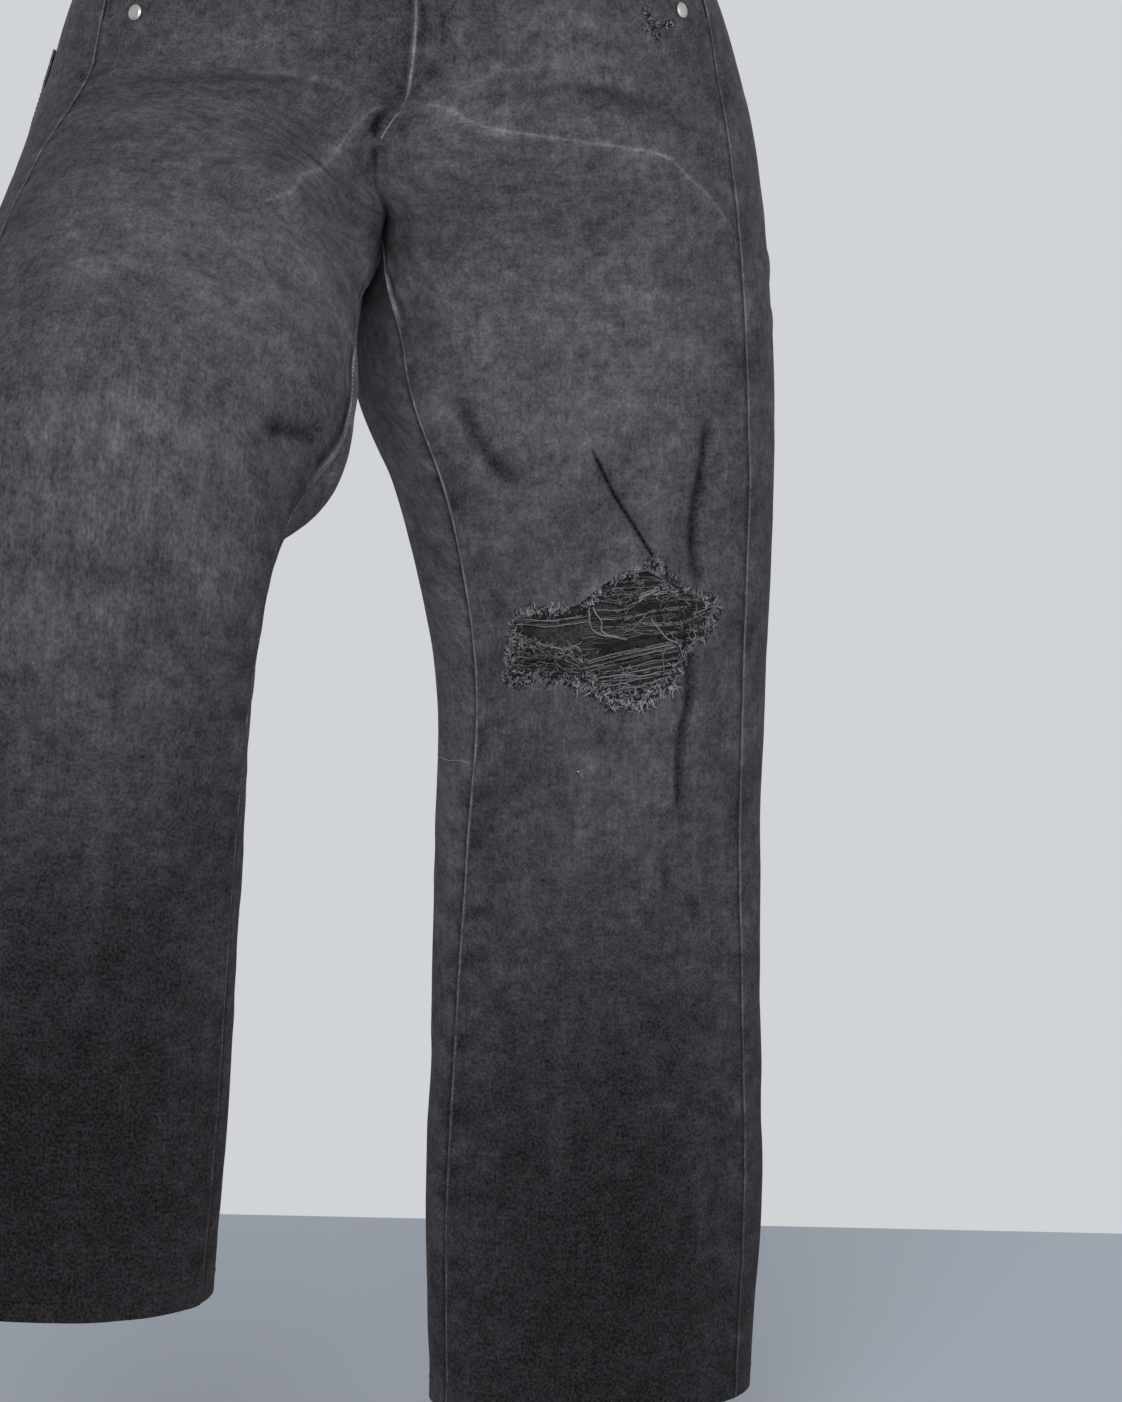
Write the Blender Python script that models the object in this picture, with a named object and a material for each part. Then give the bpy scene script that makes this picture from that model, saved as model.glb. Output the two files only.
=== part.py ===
"""Worn jeans with a ripped knee: panels, yokes, waistband, pockets, fly and metal trim.

Each piece is a closed solid.

Metres, +Z up. The front faces -Y and the wearer's left is +X. The origin is the centre of the waist
opening, level with the waistband's top edge at the side seams.

Every piece of cloth is a wall laid on one surface, which is worked out in three steps:
  1. sections: level rings of the standing garment, one for each row of the tables below;
  2. pose: the rings turn about the hip and the knee, so that the leg bends where the cloth bends;
  3. folds: soft ridges and troughs along lines drawn on the panels.
A place on the surface is (side, girth, down): girth is the distance round from the outseam, positive
over the front and negative over the back, and down is the distance below the waist.
"""

import math
from collections import namedtuple

import bmesh
import bpy
import mathutils
import mathutils.geometry
import numpy as np

LEFT, RIGHT = 1, -1
SIDE_NAMES = {LEFT: "left", RIGHT: "right"}

# Cloth
CLOTH = 0.0012
BAND_CLOTH = 0.0024
BAG_CLOTH = 0.0010
GAP = 0.0003
STEP = CLOTH + GAP

# Lengths down from the waist's top edge
BAND_HEIGHT = 0.040
YOKE_SIDE = 0.075
YOKE_CENTRE = 0.112
FRONT_CURVE_START = 0.165
BACK_CURVE_START = 0.145
CROTCH = 0.238
INSEAM = 0.730
HEM = CROTCH + INSEAM
WAIST_TILT = 0.15
WAIST_TILT_END = 0.130

# Front pockets
MOUTH_END = 0.121
POCKET_DEPTH = 0.250
POCKET_WIDTH = 0.125

# Back pockets
POCKET_TOP = 0.150
POCKET_OUTER = 0.088
POCKET_INNER = 0.238

# Fly
FLY_WIDTH = 0.038
FLY_END = 0.165

# Belt loops, by girth round from the outseam
FRONT_LOOP = (0.124, 0.130, 0.136)
SIDE_LOOP = (-0.098, -0.104, -0.110)
BACK_LOOP_HALF_WIDTH = 0.006

# Metal
RIVET_RADIUS = 0.0046
RIVET_SIDES = 20
BUTTON_RADIUS = 0.0085
BUTTON_SIDES = 28
BUTTON_INSET = 0.016
METAL_LIFT = 0.0003

# Spacing of the cloth's facets
NEAR_EDGE = 0.0075
SEAM_MARGIN = 0.012
TURN_FOR_COLUMN = 3.0
GIRTH_FOR_COLUMN = 0.35
FRONT_COLUMNS = 10
BACK_COLUMNS = 13
ROWS = (
    0.040, 0.060, 0.080, 0.100, 0.121, 0.143, 0.165, 0.187, 0.205, 0.220, 0.231, 0.238,
    0.250, 0.270, 0.292, 0.315, 0.338, 0.361, 0.384, 0.407, 0.430, 0.453, 0.476, 0.500,
    0.524, 0.548, 0.576, 0.608, 0.645, 0.688, 0.735, 0.785, 0.835, 0.885, 0.930, 0.952,
    0.968,
)

MouthPoint = namedtuple("MouthPoint", "girth down")
MOUTH = (
    MouthPoint(0.094, 0.040),
    MouthPoint(0.086, 0.057),
    MouthPoint(0.072, 0.071),
    MouthPoint(0.054, 0.083),
    MouthPoint(0.037, 0.093),
    MouthPoint(0.025, 0.103),
    MouthPoint(0.017, 0.112),
    MouthPoint(0.009, 0.118),
)

# The torn knee: how far in from the outseam, and how far down, as the tear's edge runs round.
TearPoint = namedtuple("TearPoint", "girth down")
TEAR = (
    TearPoint(0.147, 0.484),
    TearPoint(0.128, 0.481),
    TearPoint(0.110, 0.478),
    TearPoint(0.100, 0.470),
    TearPoint(0.088, 0.463),
    TearPoint(0.070, 0.460),
    TearPoint(0.058, 0.466),
    TearPoint(0.042, 0.472),
    TearPoint(0.027, 0.480),
    TearPoint(0.032, 0.491),
    TearPoint(0.044, 0.501),
    TearPoint(0.052, 0.514),
    TearPoint(0.066, 0.524),
    TearPoint(0.084, 0.526),
    TearPoint(0.098, 0.520),
    TearPoint(0.122, 0.516),
    TearPoint(0.146, 0.515),
    TearPoint(0.149, 0.499),
)
PATCH_MARGIN = 0.015

# A belt loop from top to bottom: how far down, and how far it stands off the cloth beneath.
LoopPoint = namedtuple("LoopPoint", "down out")
LOOP = (
    LoopPoint(0.002, 0.0004),
    LoopPoint(0.008, 0.0022),
    LoopPoint(0.020, 0.0030),
    LoopPoint(0.034, 0.0024),
    LoopPoint(0.044, 0.0006),
    LoopPoint(0.052, 0.0004),
)

Rivet = namedtuple("Rivet", "label girth down")
RIVETS = (
    Rivet("upper", 0.103, 0.051),
    Rivet("lower", 0.028, 0.114),
)

# Turned profiles, from the middle of the back to the middle of the front.
TurnPoint = namedtuple("TurnPoint", "radius height")
RIVET_PROFILE = (
    TurnPoint(0.0, 0.0),
    TurnPoint(RIVET_RADIUS, 0.0),
    TurnPoint(RIVET_RADIUS, 0.0006),
    TurnPoint(0.0032, 0.0012),
    TurnPoint(0.0, 0.0014),
)
BUTTON_PROFILE = (
    TurnPoint(0.0, 0.0),
    TurnPoint(0.0040, 0.0),
    TurnPoint(0.0040, 0.0012),
    TurnPoint(BUTTON_RADIUS, 0.0016),
    TurnPoint(BUTTON_RADIUS, 0.0030),
    TurnPoint(0.0072, 0.0036),
    TurnPoint(0.0060, 0.0030),
    TurnPoint(0.0, 0.0030),
)

Section = namedtuple("Section", "down inner outer front back out_seam in_seam round")
TORSO = (
    Section(0.000, 0.000, 0.147, -0.095, 0.104, 18, 0, 1.00),
    Section(0.040, 0.000, 0.160, -0.100, 0.111, 25, 0, 1.00),
    Section(0.080, 0.000, 0.180, -0.105, 0.119, 31, 0, 1.00),
    Section(0.125, 0.000, 0.198, -0.108, 0.126, 37, 0, 0.90),
    Section(0.160, 0.000, 0.208, -0.108, 0.127, 41, 0, 0.75),
    Section(0.200, 0.000, 0.217, -0.104, 0.121, 42, 0, 0.60),
    Section(0.238, 0.000, 0.222, -0.100, 0.108, 42, 0, 0.55),
)
LEGS = {
    LEFT: (
        Section(0.300, -0.011, 0.225, -0.092, 0.096, 39, 24, 0.60),
        Section(0.369, -0.017, 0.225, -0.082, 0.084, 38, 38, 0.72),
        Section(0.403, -0.007, 0.223, -0.078, 0.080, 37, 39, 0.80),
        Section(0.461, 0.006, 0.219, -0.070, 0.070, 38, 38, 0.92),
        Section(0.520, 0.014, 0.215, -0.064, 0.060, 38, 36, 1.00),
        Section(0.609, 0.012, 0.212, -0.054, 0.052, 36, 33, 1.00),
        Section(0.726, 0.009, 0.213, -0.050, 0.048, 33, 28, 1.00),
        Section(0.844, 0.005, 0.215, -0.050, 0.047, 32, 25, 1.00),
        Section(0.968, 0.006, 0.209, -0.049, 0.046, 31, 23, 1.00),
    ),
    RIGHT: (
        Section(0.300, 0.012, 0.225, -0.094, 0.100, 39, 6, 0.62),
        Section(0.369, -0.004, 0.224, -0.086, 0.099, 38, 4, 0.75),
        Section(0.430, -0.012, 0.221, -0.080, 0.091, 37, 0, 0.88),
        Section(0.520, 0.006, 0.215, -0.070, 0.070, 38, 6, 1.00),
        Section(0.609, 0.011, 0.212, -0.058, 0.056, 36, 14, 1.00),
        Section(0.726, 0.009, 0.213, -0.052, 0.050, 33, 20, 1.00),
        Section(0.844, 0.006, 0.214, -0.050, 0.048, 32, 22, 1.00),
        Section(0.968, 0.006, 0.209, -0.049, 0.046, 31, 23, 1.00),
    ),
}
CENTRE_BEHIND_FRONT = 0.002
CENTRE_AHEAD_OF_BACK = 0.008
SEAM_TURN = 0.5
CROTCH_SPREAD = 4.0

# How each leg is held: degrees forward (flex) and outward (spread) of the thigh and of the shin.
Pose = namedtuple("Pose", "thigh_flex thigh_spread shin_flex shin_spread")
POSES = {
    LEFT: Pose(14, 0, 0, 0),
    RIGHT: Pose(62, 17, -6, 5),
}
LEG_AXIS = 0.104
HIP_BEND = (0.110, 0.330)
KNEE_BEND = (0.440, 0.610)
CROTCH_REACH = 0.095
CROTCH_SLOPE = 0.75
CROTCH_EASE = 0.010

# The raised leg draws the crotch seam over towards it.
LEAN = 0.012
LEAN_REACH = 0.070
LEAN_DOWN = (0.110, 0.225, 0.330)

# Folds: height out of the cloth, how far the fold spreads on its upper and lower side, and its line.
Fold = namedtuple("Fold", "height upper lower line")
FOLDS = {
    LEFT: (
        Fold(
            0.006, 0.020, 0.075,
            (
                (0.188, 0.167), (0.160, 0.176), (0.140, 0.189), (0.096, 0.197),
                (0.062, 0.201), (0.042, 0.219), (0.010, 0.252),
            ),
        ),
        Fold(-0.004, 0.030, 0.030, ((0.110, 0.385), (0.090, 0.420), (0.068, 0.450))),
        Fold(-0.004, 0.025, 0.035, ((0.033, 0.385), (0.040, 0.430), (0.040, 0.470))),
        Fold(-0.004, 0.030, 0.040, ((-0.060, 0.470), (-0.160, 0.490), (-0.250, 0.475))),
        Fold(-0.004, 0.030, 0.035, ((-0.090, 0.540), (-0.180, 0.525), (-0.260, 0.545))),
        Fold(0.004, 0.030, 0.050, ((-0.070, 0.265), (-0.160, 0.290), (-0.280, 0.270))),
    ),
    RIGHT: (
        Fold(
            0.005, 0.035, 0.045,
            (
                (0.186, 0.163), (0.172, 0.180), (0.160, 0.205),
                (0.154, 0.245), (0.150, 0.295), (0.140, 0.340),
            ),
        ),
        Fold(0.004, 0.025, 0.030, ((0.150, 0.156), (0.115, 0.158), (0.075, 0.165), (0.030, 0.180))),
        Fold(-0.005, 0.022, 0.022, ((0.235, 0.458), (0.210, 0.452), (0.185, 0.455), (0.140, 0.470))),
        Fold(0.004, 0.030, 0.060, ((-0.080, 0.300), (-0.170, 0.330), (-0.270, 0.310))),
        Fold(-0.006, 0.030, 0.035, ((-0.050, 0.505), (-0.150, 0.525), (-0.250, 0.515))),
        Fold(-0.005, 0.030, 0.030, ((-0.080, 0.560), (-0.160, 0.555), (-0.240, 0.565))),
    ),
}
FOLD_TAPER = 0.035
FOLD_CLEAR = 0.025


def ease(share):
    share = np.clip(share, 0.0, 1.0)
    return share * share * (3.0 - 2.0 * share)


def between(at, limits):
    return ease((at - limits[0]) / (limits[1] - limits[0]))


def smooth_curve(at, knots, values):
    """The cubic that passes through a table's values with no corner at its rows."""
    knots, values = np.asarray(knots, float), np.asarray(values, float)
    slopes = np.gradient(values, knots)
    i = np.clip(np.searchsorted(knots, at) - 1, 0, len(knots) - 2)
    width = knots[i + 1] - knots[i]
    t = np.clip((at - knots[i]) / width, 0.0, 1.0)
    rise = t * t * (3.0 - 2.0 * t)
    bend = t * (1.0 - t)
    return (
        values[i] * (1.0 - rise)
        + values[i + 1] * rise
        + width * bend * ((1.0 - t) * slopes[i] - t * slopes[i + 1])
    )


def section_value(side, down, column):
    rows = TORSO + LEGS[side]
    value = smooth_curve(down, [r.down for r in rows], [getattr(r, column) for r in rows])
    return np.where(np.asarray(down) <= CROTCH, 0.0, value) if column in ("inner", "in_seam") else value


def centre_seam(down, start, far, across):
    """How far forward or back of the crotch the ring starts, as the centre seam curves under to it.

    The seam itself turns sharply at the crotch; away from it, where across is nearer 0, the turn is softer.
    """
    share = np.clip((down - start) / (CROTCH - start), 0.0, 1.0)
    softness = SEAM_TURN + CROTCH_SPREAD * (1.0 - np.abs(across))
    return far * (1.0 - share**2.2) ** np.minimum(softness, 2.0)


def ring_point(side, angle, down):
    """(x outward, y) on the level ring. Angle: 0 at the side, 90 front, 180 inner, negative behind."""
    inner, outer, front, back = (
        section_value(side, down, c) for c in ("inner", "outer", "front", "back")
    )
    middle = (inner + outer) / 2.0
    wrapped = (angle + 180.0) % 360.0 - 180.0
    turn = np.radians(np.where(angle == 180.0, 180.0, wrapped))
    across = np.cos(turn)
    deep = np.abs(np.sin(turn))
    square = np.where(across > 0, 1.0, section_value(side, down, "round"))
    across = np.sign(across) * np.abs(across) ** square
    deep = deep**square
    x = middle + across * np.where(across > 0, outer - middle, middle - inner)
    ahead = turn > 0
    front_end = centre_seam(down, FRONT_CURVE_START, front + CENTRE_BEHIND_FRONT, across)
    back_end = centre_seam(down, BACK_CURVE_START, back - CENTRE_AHEAD_OF_BACK, across)
    start = np.where(across > 0, 0.0, np.where(ahead, front_end, back_end))
    start = np.where(down >= CROTCH, 0.0, start)
    y = start + deep * (np.where(ahead, front, back) - start)
    return x, y


def smooth_line(line, parts=6):
    """The same line with its corners rounded: it still passes through every point."""
    ends = [line[0], *line, line[-1]]
    points = []
    for a, b, c, d in zip(ends, ends[1:], ends[2:], ends[3:]):
        a, b, c, d = (np.array(p) for p in (a, b, c, d))
        for k in range(parts):
            t = k / parts
            bend = (2 * a - 5 * b + 4 * c - d) * t**2 + (3 * b - a - 3 * c + d) * t**3
            points.append(tuple(b + (c - a) * t / 2.0 + bend / 2.0))
    return points + [line[-1]]


def beside_line(girth, down, line):
    """(distance, negative on the waist's side; place along; length) for the nearest place on the line."""
    best = np.full(np.shape(girth), 1e9)
    away, along = np.zeros_like(best), np.zeros_like(best)
    start = 0.0
    for (g0, d0), (g1, d1) in zip(line, line[1:]):
        run, drop = g1 - g0, d1 - d0
        length = math.hypot(run, drop)
        share = ((girth - g0) * run + (down - d0) * drop) / length**2
        share = np.clip(share, 0.0, 1.0)
        right, below = girth - g0 - share * run, down - d0 - share * drop
        distance = np.hypot(right, below)
        nearer = distance < best
        side = np.where(run * below - drop * right < 0.0, 1.0, -1.0)
        away = np.where(nearer, distance * side, away)
        along = np.where(nearer, start + share * length, along)
        best = np.minimum(best, distance)
        start += length
    return away, along, start


class Surface:
    """One half of the garment: places on it, in space, and its outward direction."""

    SAMPLES = 721
    STEP_DOWN = 0.002
    LENGTH = HEM + 0.020

    def __init__(self, side):
        self.side = side
        self.downs = np.arange(0.0, self.LENGTH + self.STEP_DOWN, self.STEP_DOWN)
        self._measure_girths()
        self._lay_axis()

    def _measure_girths(self):
        """Tables of girth against angle, one for each level."""
        rows = self.downs[:, None]
        lean = section_value(self.side, rows, "in_seam")
        share = np.linspace(0.0, 1.0, self.SAMPLES)[None, :]
        self.angles = -180.0 - lean + share * 360.0
        x, y = ring_point(self.side, np.where(share == 1.0, self.angles - 1e-6, self.angles), rows)
        length = np.hypot(np.diff(x, axis=1), np.diff(y, axis=1)).cumsum(axis=1)
        length = np.hstack([np.zeros((len(self.downs), 1)), length])
        seam = section_value(self.side, self.downs, "out_seam")
        zero = np.array([np.interp(s, a, g) for s, a, g in zip(seam, self.angles, length)])
        self.girths = length - zero[:, None]

    def _lay_axis(self):
        """The bent line that the leg's rings are threaded on, and how far each ring is turned."""
        pose = POSES[self.side]
        hip, knee = between(self.downs, HIP_BEND), between(self.downs, KNEE_BEND)
        flex = pose.thigh_flex * hip + (pose.shin_flex - pose.thigh_flex) * knee
        spread = pose.thigh_spread * hip + (pose.shin_spread - pose.thigh_spread) * knee
        self.flex, self.spread = np.radians(flex), np.radians(spread)
        step = np.stack(
            [
                np.sin(self.spread),
                -np.cos(self.spread) * np.sin(self.flex),
                -np.cos(self.spread) * np.cos(self.flex),
            ],
            axis=1,
        )
        self.axis = np.cumsum(step * self.STEP_DOWN, axis=0) - step[0] * self.STEP_DOWN

    def end(self, down, front):
        """Girth at the inner edge of the front, or of the back."""
        column = self.girths[:, -1 if front else 0]
        return np.interp(down, self.downs, column)

    def angle_at(self, girth, down):
        at = np.clip(down, 0.0, self.LENGTH) / self.STEP_DOWN
        low = np.clip(at.astype(int), 0, len(self.downs) - 2)
        share = at - low
        found = np.zeros(np.shape(girth))
        for row in np.unique(low):
            here = low == row
            for step, weight in ((0, 1.0 - share[here]), (1, share[here])):
                found[here] += weight * np.interp(
                    girth[here], self.girths[row + step], self.angles[row + step]
                )
        return found

    def standing(self, girth, down):
        """The place before the leg is bent, with x outward from the centre."""
        x, y = ring_point(self.side, self.angle_at(girth, down), np.clip(down, 0.0, self.LENGTH))
        tilt = WAIST_TILT * y * ease(1.0 - down / WAIST_TILT_END)
        return np.stack([x, y, tilt - down], axis=-1)

    def posed(self, girth, down):
        still = self.standing(girth, down)
        flex = np.interp(down, self.downs, self.flex)[..., None]
        spread = np.interp(down, self.downs, self.spread)[..., None]
        axis = np.stack([np.interp(down, self.downs, self.axis[:, k]) for k in range(3)], axis=-1)
        zero = np.zeros_like(flex)
        outward = np.concatenate(
            [np.cos(spread), np.sin(spread) * np.sin(flex), np.sin(spread) * np.cos(flex)], axis=-1
        )
        backward = np.concatenate([zero, np.cos(flex), -np.sin(flex)], axis=-1)
        x, y = still[..., :1], still[..., 1:2]
        bent = axis + (x - LEG_AXIS) * outward + y * backward
        bent[..., 0] += LEG_AXIS
        bent[..., 2] += (still[..., 2] + down)
        below = np.hypot(np.maximum(0.0, down - CROTCH), CROTCH_EASE)[..., None] - CROTCH_EASE
        share = ease((x + CROTCH_SLOPE * below) / CROTCH_REACH)
        place = still + share * (bent - still)
        lean = LEAN * np.exp(-((place[..., 0] / LEAN_REACH) ** 2))
        lean = lean * between(down, LEAN_DOWN[:2]) * (1.0 - between(down, LEAN_DOWN[1:]))
        place[..., 0] = self.side * (place[..., 0] + GAP / 2.0) - lean
        return place

    def outward(self, girth, down):
        """The unit direction out of the cloth."""
        reach = 0.0006
        low, high = self.end(down, False) + reach, self.end(down, True) - reach
        girth = np.clip(girth, low, high)
        along = self.posed(girth + reach, down) - self.posed(girth - reach, down)
        up = self.posed(girth, down - reach) - self.posed(girth, down + reach)
        normal = self.side * np.cross(up, along)
        return normal / np.linalg.norm(normal, axis=-1, keepdims=True)

    def at(self, girth, down, out=0.0):
        """The place, moved out of the cloth by that much."""
        girth, down, out = np.broadcast_arrays(
            np.asarray(girth, float), np.asarray(down, float), np.asarray(out, float)
        )
        out = out + self.fold_height(girth, down)
        return self.posed(girth, down) + out[..., None] * self.outward(girth, down)

    def fold_height(self, girth, down):
        """How far the folds lift the cloth, easing to nothing at the inner seams."""
        height = np.zeros(np.shape(girth))
        for fold in FOLDS[self.side]:
            away, along, length = beside_line(girth, down, smooth_line(fold.line))
            spread = np.where(away < 0.0, fold.upper, fold.lower)
            rise = np.clip(1.0 - np.abs(away) / spread, 0.0, 1.0)
            taper = ease(along / FOLD_TAPER) * ease((length - along) / FOLD_TAPER)
            height = height + fold.height * ease(rise) * taper
        front, back = self.end(down, True) - girth, girth - self.end(down, False)
        return height * ease(front / FOLD_CLEAR) * ease(back / FOLD_CLEAR)


HALVES = {side: Surface(side) for side in (LEFT, RIGHT)}

# Cutting out. Every piece is an outline on the surface, filled with facets between points that the
# pieces above and below it share, so that layers lie face to face.


def clear_scene():
    for old in list(bpy.data.objects):
        bpy.data.objects.remove(old, do_unlink=True)


def column_girths(surface, down, front, count):
    """Girths of a row's columns from the outseam, closer together where the ring bends sharply."""
    row = int(round(down / surface.STEP_DOWN))
    girth, angle = surface.girths[row], surface.angles[row]
    x, y = ring_point(surface.side, angle, down)
    heading = np.unwrap(np.arctan2(np.diff(y), np.diff(x)))
    turn = np.abs(np.diff(heading, prepend=heading[0], append=heading[-1]))
    near_end = np.minimum(girth - girth[0], girth[-1] - girth) < SEAM_MARGIN
    turn = np.where(near_end & (down < CROTCH), 0.0, turn)
    measure = np.cumsum(turn) / TURN_FOR_COLUMN + (girth - girth[0]) / GIRTH_FOR_COLUMN
    end = measure[-1] if front else measure[0]
    start = np.interp(0.0, girth, measure)
    return np.interp(np.linspace(start, end, count + 1), measure, girth)


def seam_end(surface, down, front):
    """Girth of a panel's inner edge, half a gap short of the seam."""
    end = float(surface.end(down, front))
    return end - GAP / 2.0 if front else end + GAP / 2.0


def inside(point, outline):
    x, y = point
    hit = False
    for (x0, y0), (x1, y1) in zip(outline, outline[1:] + outline[:1]):
        if (y0 > y) != (y1 > y) and x < (x1 - x0) * (y - y0) / (y1 - y0) + x0:
            hit = not hit
    return hit


def segments(outline):
    return list(zip(outline, outline[1:] + outline[:1]))


def distance_to(point, lines):
    p = np.array(point)
    ends = np.array(lines)
    run = ends[:, 1] - ends[:, 0]
    share = ((p - ends[:, 0]) * run).sum(1) / np.maximum((run**2).sum(1), 1e-18)
    near = ends[:, 0] + np.clip(share, 0.0, 1.0)[:, None] * run
    return np.hypot(*(p - near).T).min()


class Cloth:
    """The facets of one side's front or back, from which its pieces are cut."""

    def __init__(self, side, front, outlines):
        self.side, self.front = side, front
        surface = HALVES[side]
        lines = [line for outline in outlines for line in segments(outline)]
        points = {}
        edges = set()
        for start, end in lines:
            ids = [points.setdefault(self._key(p), len(points)) for p in (start, end)]
            if ids[0] != ids[1]:
                edges.add(tuple(sorted(ids)))
        count = FRONT_COLUMNS if front else BACK_COLUMNS
        for i, down in enumerate(ROWS[1:-1]):
            girths = column_girths(surface, down, front, count)
            if i % 2:
                girths = (girths[:-1] + girths[1:]) / 2.0
            for girth in girths:
                if distance_to((girth, down), lines) > NEAR_EDGE:
                    points.setdefault(self._key((girth, down)), len(points))
        flat = [mathutils.Vector((g * 1e-6, d * 1e-6)) for g, d in points]
        made = mathutils.geometry.delaunay_2d_cdt(flat, sorted(edges), [], 0, 1e-9)
        self.points = [(v.x, v.y) for v in made[0]]
        self.faces = [tuple(face) for face in made[2]]

    @staticmethod
    def _key(point):
        return round(point[0] * 1e6), round(point[1] * 1e6)

    def cut(self, name, outline, holes, out, thick, material):
        faces = []
        for face in self.faces:
            middle = tuple(np.mean([self.points[i] for i in face], axis=0))
            if inside(middle, outline) and not any(inside(middle, hole) for hole in holes):
                faces.append(face)
        used = sorted({i for face in faces for i in face})
        index = {old: new for new, old in enumerate(used)}
        girth = np.array([self.points[i][0] for i in used])
        down = np.array([self.points[i][1] for i in used])
        surface = HALVES[self.side]
        outer = surface.at(girth, down, out)
        inner = surface.at(girth, down, out - thick)
        shared = [tuple(index[i] for i in face) for face in faces]
        return wall(name, outer, inner, shared, material)


def wall(name, outer, inner, faces, material):
    """A closed wall between two layers of points joined by the same faces."""
    count = len(outer)
    open_edges = {}
    for face in faces:
        for a, b in zip(face, face[1:] + face[:1]):
            if (b, a) in open_edges:
                del open_edges[(b, a)]
            else:
                open_edges[(a, b)] = True
    back = [tuple(i + count for i in reversed(face)) for face in faces]
    rim = [(b, a, a + count, b + count) for a, b in open_edges]
    return solid(name, np.vstack([outer, inner]), list(faces) + back + rim, material)


def solid(name, points, faces, material):
    mesh = bpy.data.meshes.new(name)
    mesh.from_pydata([tuple(p) for p in points], [], faces)
    shape = bmesh.new()
    shape.from_mesh(mesh)
    bmesh.ops.triangulate(shape, faces=shape.faces)
    bmesh.ops.recalc_face_normals(shape, faces=shape.faces)
    if shape.calc_volume(signed=True) < 0.0:
        bmesh.ops.reverse_faces(shape, faces=shape.faces)
    shape.to_mesh(mesh)
    shape.free()
    made = bpy.data.objects.new(name, mesh)
    made.data.materials.append(material)
    bpy.context.scene.collection.objects.link(made)
    return made


def surface_material(name, colour, roughness, metallic=0.0):
    made = bpy.data.materials.new(name)
    made.use_nodes = True
    shader = made.node_tree.nodes["Principled BSDF"]
    shader.inputs["Base Color"].default_value = (*colour, 1.0)
    shader.inputs["Roughness"].default_value = roughness
    shader.inputs["Metallic"].default_value = metallic
    return made


def to_metres(outline):
    return [(round(g, 6), round(d, 6)) for g, d in outline]


def rows_between(top, bottom):
    return [r for r in ROWS if top - 1e-9 <= r <= bottom + 1e-9]


def yoke_down(surface, girth):
    """The yoke's lower seam, from the outseam to the centre of the back."""
    end = surface.end(YOKE_CENTRE, False)
    share = np.clip(girth / end, 0.0, 1.0)
    return YOKE_SIDE + (YOKE_CENTRE - YOKE_SIDE) * share


def front_outline(side):
    surface = HALVES[side]
    below = [r for r in ROWS if r > MOUTH_END + 0.001]
    outseam = [(GAP / 2.0, MOUTH_END)] + [(GAP / 2.0, r) for r in below]
    hem = [(g, HEM) for g in column_girths(surface, HEM, True, FRONT_COLUMNS)[1:-1]]
    inner = [(seam_end(surface, r, True), r) for r in reversed(ROWS[1:])]
    top = BAND_HEIGHT + GAP / 2.0
    waist = [(seam_end(surface, top, True), top)]
    waist += [(g, top) for g in (0.165, 0.140, 0.115)]
    mouth = [(p.girth, max(p.down, top)) for p in MOUTH]
    return to_metres(outseam + hem + inner + waist + mouth)


def back_outline(side):
    surface = HALVES[side]
    first = [r for r in ROWS if r > YOKE_SIDE + 0.004]
    outseam = [(-GAP / 2.0, YOKE_SIDE + GAP / 2.0)] + [(-GAP / 2.0, r) for r in first]
    hem = [(g, HEM) for g in column_girths(surface, HEM, False, BACK_COLUMNS)[1:-1]]
    last = [r for r in ROWS if r > YOKE_CENTRE + 0.004]
    inner = [(seam_end(surface, r, False), r) for r in reversed(last)]
    ends = [(seam_end(surface, YOKE_CENTRE, False), YOKE_CENTRE + GAP / 2.0)]
    seam = [(g, float(yoke_down(surface, g)) + GAP / 2.0) for g in yoke_columns(side)[::-1]]
    return to_metres(outseam + hem + inner + ends + seam)


def yoke_columns(side):
    end = float(HALVES[side].end(YOKE_CENTRE, False))
    return [end * k / 12.0 for k in range(1, 12)]


def yoke_outline(side):
    surface = HALVES[side]
    top = BAND_HEIGHT + GAP / 2.0
    outseam = [(-GAP / 2.0, top), (-GAP / 2.0, 0.060), (-GAP / 2.0, YOKE_SIDE - GAP / 2.0)]
    seam = [(g, float(yoke_down(surface, g)) - GAP / 2.0) for g in yoke_columns(side)]
    ends = [(seam_end(surface, d, False), d) for d in (YOKE_CENTRE - GAP / 2.0, 0.080, 0.060, top)]
    waist_end = float(surface.end(top, False))
    waist = [(waist_end * k / 10.0, top) for k in range(9, 0, -1)]
    return to_metres(outseam + seam + ends + waist)


def facing_outline(side):
    """The front pocket: the hip piece behind the mouth, running down as the pocket's back."""
    top = BAND_HEIGHT + 0.0008
    outseam = [(GAP / 2.0, top)] + [(GAP / 2.0, r) for r in rows_between(0.050, 0.187)]
    bag = [(0.020, 0.215), (0.045, 0.240), (0.080, POCKET_DEPTH), (0.110, 0.240)]
    rise = [(POCKET_WIDTH, 0.205), (0.128, 0.165), (0.130, 0.120), (0.126, 0.080), (0.115, top)]
    waist = [(0.0935, top), (0.070, top), (0.045, top), (0.022, top)]
    return to_metres(outseam + bag + rise + waist)


def shield_outline(side):
    """The fly's underlap, behind the wearer's left front."""
    surface = HALVES[side]
    top = BAND_HEIGHT + GAP / 2.0
    rows = [top] + rows_between(0.050, FLY_END)
    inner = [(seam_end(surface, r, True), r) for r in reversed(rows)]
    outer = [(float(surface.end(r, True)) - FLY_WIDTH, r) for r in rows[:-1]]
    lower = [(float(surface.end(0.160, True)) - 0.030, 0.158)]
    return to_metres(outer + lower + inner)


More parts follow.
